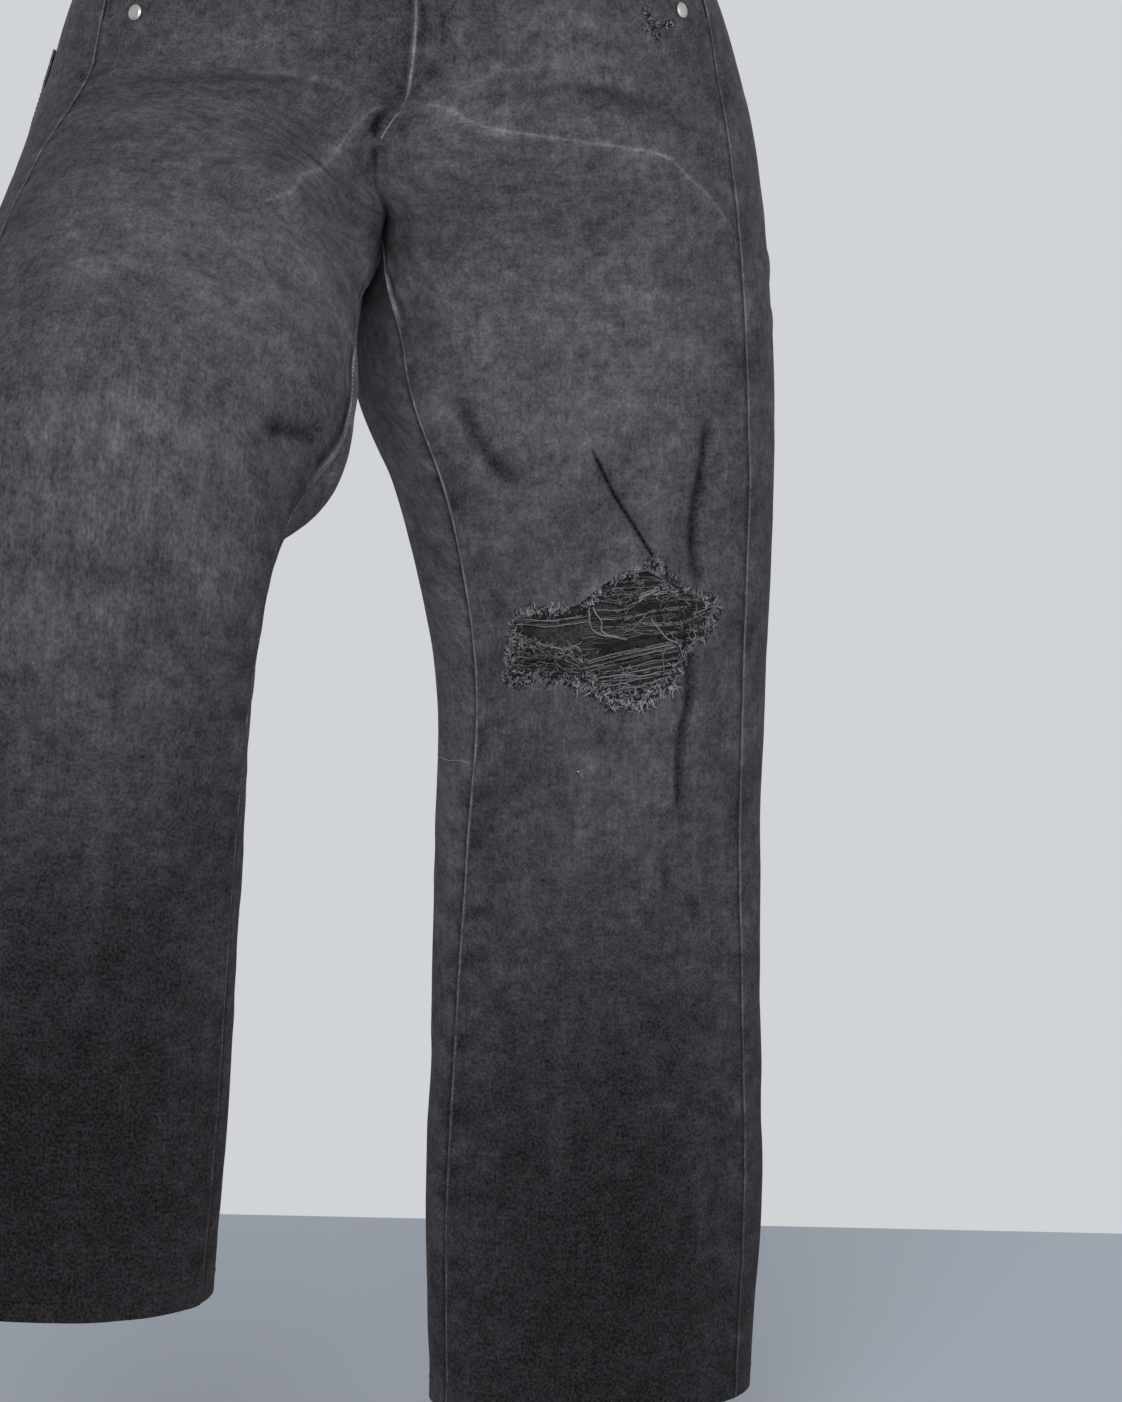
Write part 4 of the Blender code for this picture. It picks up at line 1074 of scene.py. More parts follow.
def swing(tree, value, amount):
    """Turns a value from 0 to 1 into a gain of 1 give or take that much."""
    away = calculate(tree, "SUBTRACT", value, 0.5)
    return calculate(tree, "MULTIPLY_ADD", away, 2.0 * amount, 1.0)


def new_material(name, roughness, specular=0.3, sheen=0.0):
    made = bpy.data.materials.new(name)
    made.use_nodes = True
    tree = made.node_tree
    shader = tree.nodes["Principled BSDF"]
    shader.inputs["Roughness"].default_value = roughness
    shader.inputs["Specular IOR Level"].default_value = specular
    shader.inputs["Sheen Weight"].default_value = sheen
    shader.inputs["Sheen Roughness"].default_value = 0.6
    return made, tree, shader


def tinted(tree, value, tint, drift=None):
    """A colour from a brightness and a tint, with a drift from 0 to 1 towards warm or cold."""
    made = node(tree, "ShaderNodeCombineColor")
    for label, share, turn in zip(("Red", "Green", "Blue"), tint, (-0.10, 0.05, 0.12)):
        level = times(tree, value, share)
        if drift is not None:
            level = times(tree, level, swing(tree, drift, turn))
        wire(tree, level, made.inputs[label])
    return made.outputs[0]


def attribute(tree, name):
    return node(tree, "ShaderNodeAttribute", attribute_name=name).outputs["Fac"]


def times(tree, first, second):
    return calculate(tree, "MULTIPLY", first, second)


def raise_by(tree, shader, height, strength, distance):
    """Fine relief that only the shading shows."""
    raised = node(tree, "ShaderNodeBump")
    raised.inputs["Strength"].default_value = strength
    raised.inputs["Distance"].default_value = distance
    wire(tree, height, raised.inputs["Height"])
    wire(tree, raised.outputs[0], shader.inputs["Normal"])


TWILL_SCALE = 300.0
TWILL_LEAN = 62.0


def twill(tree, place):
    """Fine diagonal ribs, from 0 to 1, unevenly spun."""
    made = node(tree, "ShaderNodeTexWave", wave_type="BANDS", bands_direction="X")
    turned = node(tree, "ShaderNodeMapping")
    turned.inputs["Rotation"].default_value = (0.0, 0.0, math.radians(TWILL_LEAN))
    wire(tree, place, turned.inputs["Vector"])
    wire(tree, turned.outputs[0], made.inputs["Vector"])
    made.inputs["Scale"].default_value = TWILL_SCALE
    made.inputs["Distortion"].default_value = 1.6
    made.inputs["Detail"].default_value = 2.0
    made.inputs["Detail Scale"].default_value = 2.0
    return made.outputs["Fac"]


# The denim's grains: how the pattern is stretched, its scale and roughness, and how much it swings the tone.
Grain = namedtuple("Grain", "across along scale detail roughness strength")
DENIM_GRAINS = {
    "fleck": Grain(1.0, 0.8, 620.0, 3.0, 0.65, 0.42),
    "grain": Grain(1.0, 0.7, 250.0, 3.0, 0.60, 0.60),
    "slub": Grain(560.0, 34.0, 1.0, 2.0, 0.50, 0.24),
    "weft": Grain(40.0, 640.0, 1.0, 2.0, 0.50, 0.14),
    "mottle": Grain(1.0, 1.0, 105.0, 3.0, 0.60, 0.72),
    "cloud": Grain(1.0, 1.0, 34.0, 4.0, 0.62, 0.60),
}
RIB_STRENGTH = 0.10
PALE_FLECK = 0.080
DARKEST = 0.004


def denim_material(name, gain, tint, lines=True, bump=0.5):
    """Washed black denim: warp streaks, a pale weft fleck, a twill rib and thin crease lines.

    The thin lines are worn crests with painted highlight, and dark lines of painted shade.
    """
    made, tree, shader = new_material(name, 0.90, specular=0.08, sheen=0.02)
    place = node(tree, "ShaderNodeUVMap", uv_map="cloth").outputs[0]
    rib = twill(tree, place)
    grains = {
        label: noise(tree, scaled(tree, place, g.across, g.along), g.scale, g.detail, g.roughness)
        for label, g in DENIM_GRAINS.items()
    }
    fleck = grains["fleck"]
    value = times(tree, attribute(tree, "tone"), gain)
    for label, g in DENIM_GRAINS.items():
        value = times(tree, value, swing(tree, grains[label], g.strength))
    value = times(tree, value, swing(tree, rib, RIB_STRENGTH))
    value = calculate(tree, "MULTIPLY_ADD", calculate(tree, "SUBTRACT", fleck, 0.5), PALE_FLECK, value)
    value = calculate(tree, "MAXIMUM", value, DARKEST)
    if lines:
        across = calculate(tree, "ABSOLUTE", attribute(tree, "line"))
        across = times(tree, across, swing(tree, noise(tree, place, 190.0), 0.5))
        lift = calculate(tree, "SUBTRACT", 1.0, calculate(tree, "MINIMUM", across, 1.0))
        lift = times(tree, lift, attribute(tree, "line_gain"))
        lift = times(tree, lift, swing(tree, noise(tree, place, 420.0, 2.0, 0.6), 1.0))
        value = times(tree, value, calculate(tree, "ADD", lift, 1.0))
    drift = noise(tree, place, 70.0, 4.0, 0.7)
    wire(tree, tinted(tree, value, tint, drift), shader.inputs["Base Color"])
    weave = calculate(tree, "ADD", times(tree, rib, 0.5), fleck)
    weave = calculate(tree, "ADD", weave, times(tree, grains["slub"], 0.4))
    raise_by(tree, shader, weave, bump, 0.00035)
    wire(tree, calculate(tree, "MULTIPLY_ADD", fleck, 0.16, 0.78), shader.inputs["Roughness"])
    return made


def thread_material(name, tint):
    """Spun yarn: a twisted, hairy strand in the tone that its own mesh gives it."""
    made, tree, shader = new_material(name, 0.85, specular=0.2, sheen=0.05)
    place = node(tree, "ShaderNodeTexCoord").outputs["Object"]
    fibre = noise(tree, place, 1900.0, 2.0, 0.6)
    patch = noise(tree, place, 160.0, 2.0, 0.5)
    value = times(tree, attribute(tree, "tone"), swing(tree, fibre, 0.5))
    value = times(tree, value, swing(tree, patch, 0.25))
    wire(tree, tinted(tree, value, tint), shader.inputs["Base Color"])
    raise_by(tree, shader, fibre, 0.4, 0.0001)
    return made


def metal_material(name, colour):
    """Pressed metal, dulled by handling: scratches, small pits and duller patches."""
    made, tree, shader = new_material(name, 0.34, specular=0.5)
    shader.inputs["Metallic"].default_value = 1.0
    place = node(tree, "ShaderNodeTexCoord").outputs["Object"]
    scratch = noise(tree, scaled(tree, place, 900.0, 900.0, 5200.0), 1.0, 3.0, 0.6)
    dull = noise(tree, place, 340.0, 3.0, 0.6)
    value = times(tree, swing(tree, dull, 0.22), swing(tree, scratch, 0.10))
    wire(tree, tinted(tree, value, colour), shader.inputs["Base Color"])
    wire(tree, calculate(tree, "MULTIPLY_ADD", dull, 0.34, 0.18), shader.inputs["Roughness"])
    raise_by(tree, shader, scratch, 0.35, 0.0002)
    return made


DENIM = denim_material("denim_face", 1.0, (1.000, 0.960, 1.095))
REVERSE = denim_material("denim_reverse", 1.25, (1.0, 0.985, 1.02), lines=False)
BACKING = denim_material("backing_face", 0.50, (1.0, 0.965, 1.03), lines=False, bump=0.7)
THREAD = thread_material("pale_weft_thread", (1.0, 0.970, 1.045))
STITCH = thread_material("dark_stitching", (1.0, 0.97, 1.03))
METAL = metal_material("worn_pale_metal", (0.50, 0.49, 0.48))

LEG_PIECES = {LEFT: [], RIGHT: []}


def register(piece, slot, *nodes):
    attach(piece, "root")
    if nodes:
        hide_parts(*nodes)
    return piece


# Legs

EDGE_STEPS = (0.0, 0.0005, 0.0010, 0.0016, 0.0023, 0.0032, 0.0044, 0.0060, 0.0080, 0.0105, 0.0130)
COARSE = 1.0
FRONT_PITCH = 0.0026 * COARSE
BACK_PITCH = 0.0032 * COARSE


def panel_columns(width, pitch):
    """Shares across a panel for the columns between its two crowded edges."""
    return np.linspace(0.0, 1.0, int(width / pitch))


def column_girth(side, down, columns, front):
    """Girth of every column, for a grid of levels; the columns crowd near both seams."""
    end = HALVES[side].end(down, True) if front else -HALVES[side].end(down, False)
    steps = np.array(EDGE_STEPS)
    near, far = steps - SEAM_LAP, steps + GAP / 2.0
    edge = len(steps) - 1
    girth = np.empty_like(down)
    girth[:, :edge] = near[:-1]
    girth[:, edge:-edge] = near[-1] + (end[:, edge:-edge] - far[-1] - near[-1]) * columns
    girth[:, -edge:] = end[:, -edge:] - far[-2::-1]
    return girth if front else -girth


def panel_grid(side, level, columns, front, rule=None):
    """Places of a panel's grid. A rule bends its levels to meet the yoke's seam."""
    count = len(columns) + 2 * len(EDGE_STEPS) - 2
    down = np.repeat(np.asarray(level, float)[:, None], count, axis=1)
    girth = column_girth(side, down, columns, front)
    for _ in range(4 if rule else 0):
        down = rule(np.asarray(level)[:, None], yoke_down(seam_share(side, girth)))
        girth = column_girth(side, down, columns, front)
    return girth, down


def panel_rows(top, bottom, pitch):
    rows = np.arange(top, bottom - 0.009, pitch)
    close = bottom - np.array([0.0075, 0.0055, 0.004, 0.0028, 0.0018, 0.001, 0.0004, 0.0])
    return np.concatenate([rows, close])


# The folded border of a mouth or a pocket: its worn line's width and strength, and where it ends
BORDER_WEAR = 0.0016
BORDER_FALL = 0.003
MOUTH_BORDER = 0.0075
POCKET_BORDER = 0.009
POCKET_HEM = 0.022

MOUTH_CUT = ((-0.010, 0.030), (0.094, 0.030), *MOUTH, (0.0, 0.1205), (-0.010, 0.1205))


def mouth_edge(girth, down):
    """The pocket mouth's turned edge: a little thicker, worn along its fold."""
    away = np.abs(beside_line(girth, down, smooth_line(MOUTH))[0])
    turned = fading(away, MOUTH_BORDER, BORDER_FALL)
    return 0.0007 * turned, 0.45 * bell(away, 0.0, BORDER_WEAR) + 0.10 * turned


def fly_width(down):
    """How far the fly's curved stitching stands from the centre seam."""
    narrow = FLY_WIDTH + (FLY_NARROW - FLY_WIDTH) * between(down, FLY_CURVE)
    return narrow * fading(down, 0.152, 0.014)


def fly_edge(girth, down):
    """The fly's stitched-down facing, and its free edge over the right front."""
    line = HALVES[LEFT].end(down, True) - fly_width(down)
    within = ease((girth - line) / 0.002) * fading(down, 0.158, 0.010)
    lump = run_noise(down / 0.0062, 4.5, 95)
    height = 0.0007 * within + 0.0006 * lump * bell(girth, line, 0.005) * (down < 0.168)
    beside = bell(girth, line, 0.0026) * fading(down, 0.160, 0.008)
    return height, 0.05 * within + beside * (0.10 + 0.45 * lump)


def tear_edge(girth, down):
    """The tear's frayed edge curls out and is worn pale."""
    away = np.abs(beside_line(girth, down, TEAR + TEAR[:1])[0])
    near = np.exp(-away / 0.0045)
    ruffle = lattice_noise(girth / 0.005, down / 0.0035, 41)
    return near * (0.0012 + 0.0008 * ruffle), near * (0.35 + 0.45 * ruffle)


def front_extra(side):
    """The pocket mouth's edge, and on the left the fly's and the tear's."""

    def both(girth, down):
        height, gain = mouth_edge(girth, down)
        near = down < 0.135
        height, gain = np.where(near, height, 0.0), np.where(near, gain, 0.0)
        if side == LEFT:
            for more in (fly_edge, tear_edge):
                lift, shade = more(girth, down)
                height, gain = height + lift, gain + shade
        return height, gain

    return both


def yoke_down(share):
    return YOKE_SIDE + (YOKE_CENTRE - YOKE_SIDE) * share


def seam_share(side, girth):
    return np.clip(girth / HALVES[side].end(YOKE_CENTRE, False), 0.0, 1.0)


def yoke_extra(side):
    """The yoke's lower edge is folded over the back and stitched down.

        It is worn pale along its fold, and the back just below it gets painted shade.
    """

    def both(girth, down):
        above = yoke_down(seam_share(side, girth)) - down
        lap = np.where(above >= 0.0, fading(above, POCKET_BORDER, BORDER_FALL), 0.0)
        bump = pucker(girth, np.abs(above), 61 + side)
        # Pale where the lapped edge is worn, and painted shade on the back just below it
        worn = np.where(above >= 0.0, EDGE_WEAR * bell(above, 0.001, 0.0008), -0.45 * bell(above, 0.0, 0.0018))
        return SEAM_LIFT * lap + 0.0006 * bump, 0.22 * bump + worn

    return both


def make_leg(side):
    """The front, back and yoke of one leg."""

    def panel(part, grid, **more):
        name = "%s_%s" % (part, SIDE_NAMES[side])
        made = cloth_piece(name + "_cloth", side, *grid, 0.0, CLOTH, [DENIM, REVERSE], **more)
        LEG_PIECES[side].append(register(made, "denim", name))

    def below_seam(level, seam):
        settle = np.clip(1.0 - (level - YOKE_SIDE) / 0.300, 0.0, 1.0)
        return level + (seam + GAP / 2.0 - YOKE_SIDE) * settle

    def above_seam(level, seam):
        return PANEL_TOP + (seam - GAP / 2.0 - PANEL_TOP) * level

    grid = panel_grid(side, panel_rows(PANEL_TOP, HEM, FRONT_PITCH), panel_columns(0.225, FRONT_PITCH), True)
    panel("front", grid, cuts=[MOUTH_CUT] + ([TEAR] if side == LEFT else []), extra=front_extra(side))
    columns = panel_columns(0.250, BACK_PITCH)
    grid = panel_grid(side, panel_rows(YOKE_SIDE, HEM, BACK_PITCH), columns, False, below_seam)
    panel("back", grid, extra=yoke_extra(side))
    level = np.linspace(0.0, 1.0, int(0.055 / BACK_PITCH) + 8)
    panel("yoke", panel_grid(side, level, columns, False, above_seam), extra=yoke_extra(side))


def patch_piece(side, name, outline, out, thick, pitch, cloths=None, slot="denim", extra=None):
    """A piece of cloth that is only what lies in an outline. Its name is its node's."""
    low, high = np.min(outline, axis=0) - pitch, np.max(outline, axis=0) + pitch
    girth, down = np.meshgrid(*(np.arange(a, b + pitch, pitch) for a, b in zip(low, high)))
    cloths = cloths or [DENIM, REVERSE]
    made = cloth_piece(name + "_cloth", side, girth, down, out, thick, cloths, keep=outline, extra=extra)
    LEG_PIECES[side].append(register(made, slot, name))


# Pockets, fly and the patch behind the knee

# The hip piece behind the mouth, running down as the pocket's back
FRONT_POCKET = (
    (-6.0 * SEAM_LAP, PANEL_TOP),
    (-6.0 * SEAM_LAP, 0.187),
    *line_of((20, 215, 45, 240, 80, 250, 110, 240, 125, 205, 128, 165, 130, 120, 126, 80)),
    (0.115, PANEL_TOP),
)
BACK_POCKET = line_of((
    -88, 140, -89, 185, -91, 220, -94, 258, -128, 270, -163, 284, -198, 276, -233, 268, -236, 230, -237, 195,
    -238, 158, -198, 154, -163, 149, -126, 145
))
BACK_POCKET_TOP = BACK_POCKET[10:] + BACK_POCKET[:1]


def shield_outline():
    """The fly's underlap, behind the wearer's left front."""
    surface = HALVES[LEFT]
    levels = np.linspace(BAND_HEIGHT + GAP / 2.0, FLY_END, 26)
    inner = [(float(surface.end(d, True)) - GAP / 2.0, d) for d in levels[::-1]]
    outer = [(float(surface.end(d, True)) - FLY_WIDTH, d) for d in levels[:-1]]
    return outer + [(float(surface.end(0.160, True)) - 0.030, 0.158)] + inner


def patch_outline():
    """The tear's outline, grown by the patch's margin."""
    middle = np.mean(TEAR, axis=0)
    grown = []
    for corner in TEAR[::2]:
        away = np.array(corner) - middle
        grown.append(tuple(middle + away * (1.0 + PATCH_MARGIN / np.hypot(*away))))
    return grown


def pocket_edge(girth, down):
    """A back pocket's folded border and turned-down top."""
    away = np.abs(beside_line(girth, down, BACK_POCKET + BACK_POCKET[:1])[0])
    from_top = np.abs(beside_line(girth, down, BACK_POCKET_TOP)[0])
    bump = pucker(girth + down, away, 71)
    border, turned = fading(away, POCKET_BORDER, BORDER_FALL), fading(from_top, POCKET_HEM, BORDER_FALL)
    height = 0.0006 * border + 0.0005 * turned + 0.0005 * bump
    return height, 0.55 * bell(away, 0.0, BORDER_WEAR) + 0.16 * bump


def make_pockets():
    """The pockets, the fly's underlap and the patch behind the torn knee."""
    for side in (LEFT, RIGHT):
        name = SIDE_NAMES[side]
        patch_piece(side, "front_pocket_" + name, FRONT_POCKET, -STEP, BAG_CLOTH, 0.0035 * COARSE)
        patch_piece(side, "back_pocket_" + name, BACK_POCKET, STEP, CLOTH, 0.0026 * COARSE, extra=pocket_edge)
    patch_piece(LEFT, "fly_shield", shield_outline(), -STEP, CLOTH, 0.0035)
    patch_piece(LEFT, "knee_patch", patch_outline(), -STEP, CLOTH, 0.0022, [BACKING, BACKING], "backing")


# Hems


def make_hem(side):
    """The turned-up inner layer, and the fold that joins it to the leg."""
    surface = HALVES[side]
    shares = np.linspace(-1.0, 1.0, 241)[:-1]
    radius, layer = (STEP + CLOTH) / 2.0, -STEP - CLOTH
    turn = np.linspace(0.0, math.pi, 9)
    profile = [(HEM + radius * math.sin(a), -radius + radius * math.cos(a)) for a in turn]
    profile += [(HEM - rise, layer) for rise in (*HEM_RISE, HEM_FOLD)]
    profile += [(HEM - rise, -STEP) for rise in (HEM_FOLD, *HEM_RISE[::-1])]
    radius -= CLOTH
    profile += [(HEM + radius * math.sin(a), -radius - CLOTH + radius * math.cos(a)) for a in turn[::-1]]
    points, tones, places = [], [], []
    for down, out in profile:
        level = min(down, HEM)
        girth = shares * np.where(shares > 0.0, surface.end(level, True), -surface.end(level, False))
        height, tone = relief(side, girth, np.full_like(girth, level))
        points.append(surface.at(girth, down, out + height))
        tones.append(tone * 1.12)
        places.append(np.stack([girth, np.full_like(girth, down)], -1))
    index = np.arange(len(profile) * len(shares)).reshape(len(profile), -1)
    below, beside = np.roll(index, -1, axis=0), np.roll(index, -1, axis=1)
    faces = np.stack([index, beside, np.roll(below, -1, axis=1), below], -1).reshape(-1, 4)
    points, tones, places = (np.concatenate(rows) for rows in (points, tones, places))
    name = "hem_" + SIDE_NAMES[side]
    hem = add_mesh(name + "_cloth", points, faces, [DENIM], cloth_values(tones), places=places)
    face_out(hem)
    LEG_PIECES[side].append(register(hem, "denim", name))


def face_out(made):
    """Turns a closed mesh's faces outward."""
    shape = bmesh.new()
    shape.from_mesh(made.data)
    bmesh.ops.recalc_face_normals(shape, faces=shape.faces)
    shape.to_mesh(made.data)
    shape.free()


for leg_side in (LEFT, RIGHT):
    make_leg(leg_side)
    make_hem(leg_side)
make_pockets()

# Waistband and belt loops

# Where the right half and the loops lie on the denim's pattern
RIGHT_HALF_SHIFT = 0.4
LOOP_SHIFT = 0.7
LOOP_WIDTH = 0.012
LOOP_TONE = 0.066


def make_waistband():
    """One strip round the waist, lapped under at the front, with rounded edges."""
    front = float(HALVES[LEFT].end(BAND_HEIGHT / 2.0, True)) - GAP
    runs = (
        (LEFT, -BAND_CLOTH - GAP, np.linspace(1.0 - FLY_WIDTH / front, 1.0, 12)),
        (RIGHT, 0.0, np.linspace(1.0 - 0.014 / front, 0.0, 70)),
        (RIGHT, 0.0, np.linspace(0.0, -1.0, 90)[1:]),
        (LEFT, 0.0, np.linspace(-1.0, 0.0, 90)[1:]),
        (LEFT, 0.0, np.linspace(0.0, 1.0, 76)[1:]),
    )
    sides = np.concatenate([np.full(len(shares), side) for side, _, shares in runs])
    outs = np.concatenate([np.full(len(shares), out) for _, out, shares in runs])
    shares = np.concatenate([shares for _, _, shares in runs])
    count, bottom = len(sides), BAND_HEIGHT - GAP / 2.0
    edge = np.array([0.0, 0.0006, 0.0014, 0.0030, 0.0060])
    rows = np.concatenate([edge, np.linspace(0.009, BAND_HEIGHT - 0.009, 8), bottom - edge[::-1]])
    outer, inner = np.empty((2, len(rows), count, 3))
    tones, places = np.empty((len(rows), count)), np.empty((len(rows), count, 2))
    for k, row in enumerate(rows):
        near = min(row, bottom - row)
        rounding = -0.0007 * (1.0 - min(1.0, near / 0.0014)) ** 2
        bump = 0.0004 * run_noise(np.arange(count) * 0.31, row / 0.012, 81) * ease(near / 0.004)
        for side in (LEFT, RIGHT):
            here = sides == side
            surface, share = HALVES[side], shares[here]
            girth = np.where(share > 0.0, share * surface.end(row, True), -share * surface.end(row, False))
            girth = np.where(share == 1.0, girth - GAP / 2.0, girth)
            level = np.full_like(girth, row)
            outer[k, here] = surface.at(girth, level, outs[here] + rounding + bump[here])
            inner[k, here] = surface.at(girth, level, outs[here] - BAND_CLOTH - rounding)
            tones[k, here] = faded_tone_with_painted_light(side, girth, level)
            places[k, here, 0] = girth + (RIGHT_HALF_SHIFT if side == RIGHT else 0.0)
        tones[k] *= 1.0 + 0.35 * bell(near, 0.0, 0.0014) + 220.0 * bump
        places[k, :, 1] = row
    skins, faces = (outer.reshape(-1, 3), inner.reshape(-1, 3)), grid_faces(len(rows), count)
    made = add_wall("waistband_cloth", *skins, faces, [DENIM], tones.ravel(), places.reshape(-1, 2))
    LEG_PIECES[LEFT].append(register(made, "denim", "waistband"))


def loop_strip(name, columns, lift=0.0):
    """A belt loop, its edges worn. Columns are (side, girth), or (side, inset) from the centre back seam."""
    steps = np.linspace(0.0, 1.0, 41)
    levels, stands = [p.down for p in LOOP], [p.out for p in LOOP]
    downs = np.interp(steps, np.linspace(0.0, 1.0, len(LOOP)), levels)
    outs = smooth_curve(downs, levels, stands)
    skins = []
    for side, girth, from_back in columns:
        across = girth + (HALVES[side].end(downs, False) if from_back else np.zeros(len(downs)))
        skins.append([HALVES[side].at(across, downs, outs + lift + more) for more in (CLOTH, 0.0)])
    shares = np.linspace(0.0, 1.0, 9)
    outer, inner, tones, places = [], [], [], []
    for row, down in enumerate(downs):
        for share in shares:
            at = share * (len(skins) - 1)
            k = min(int(at), len(skins) - 2)
            top, low = (a[row] + (b[row] - a[row]) * (at - k) for a, b in zip(skins[k], skins[k + 1]))
            border = abs(2.0 * share - 1.0)
            outer.append(top + (top - low) * 0.25 * (1.0 - border**2))
            inner.append(low)
            tones.append(LOOP_TONE * (1.0 + 0.5 * float(ease((border - 0.80) / 0.2)) - 0.12 * (1.0 - border)))
            places.append((share * LOOP_WIDTH + LOOP_SHIFT, down))
    skins, faces = (np.array(outer), np.array(inner)), grid_faces(len(downs), len(shares))
    made = add_wall(name + "_cloth", *skins, faces, [DENIM], np.array(tones), np.array(places))
    LEG_PIECES[LEFT].append(register(made, "denim", name))


FRONT_LOOP = (0.124, 0.130, 0.136)
SIDE_LOOP = (-0.098, -0.104, -0.110)
BACK_LOOP_HALF_WIDTH = 0.006


def make_loops():
    for side in (LEFT, RIGHT):
        loop_strip("belt_loop_front_" + SIDE_NAMES[side], [(side, g, False) for g in FRONT_LOOP])
        loop_strip("belt_loop_side_" + SIDE_NAMES[side], [(side, g, False) for g in SIDE_LOOP])
    half = BACK_LOOP_HALF_WIDTH
    loop_strip("belt_loop_back", [(LEFT, half, True), (LEFT, GAP, True), (RIGHT, half, True)], GAP)


make_waistband()
make_loops()

for name in sorted(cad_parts):
    if name.startswith("rivet") or name == "waist_button":
        made = bpy.data.objects[name]
        for slot in made.material_slots:
            slot.material = METAL

# Loose yarn. A path is its places on the left front and how far it stands off the cloth.

YARN_RADIUS = 0.00030
FRAY_RADIUS = 0.00040
SNARL_RADIUS = 0.00034
SCUFF_RADIUS = 0.00050
CAUGHT_RADIUS = 0.00026
YARN_PITCH = 0.00038
WEFT_TONES = (0.25, 0.60, 0.95, 1.35, 1.60)
WARP_AND_SHADOW_TONE = 0.05


def yarn_paths(girth, down, out):
    """Points of many yarns at once, from arrays of (yarns, steps)."""
    flat = [v.ravel() for v in (girth, down)]
    height = relief(LEFT, *flat)[0] + out.ravel()
    return HALVES[LEFT].at(*flat, height).reshape(*girth.shape, 3)


def along_line(line, shares):
    """Places at those shares of a line's length."""
    points = np.array(smooth_line(line))
    run = np.concatenate([[0.0], np.hypot(*np.diff(points, axis=0).T).cumsum()])
    at = shares * run[-1]
    return np.interp(at, run, points[:, 0]), np.interp(at, run, points[:, 1])


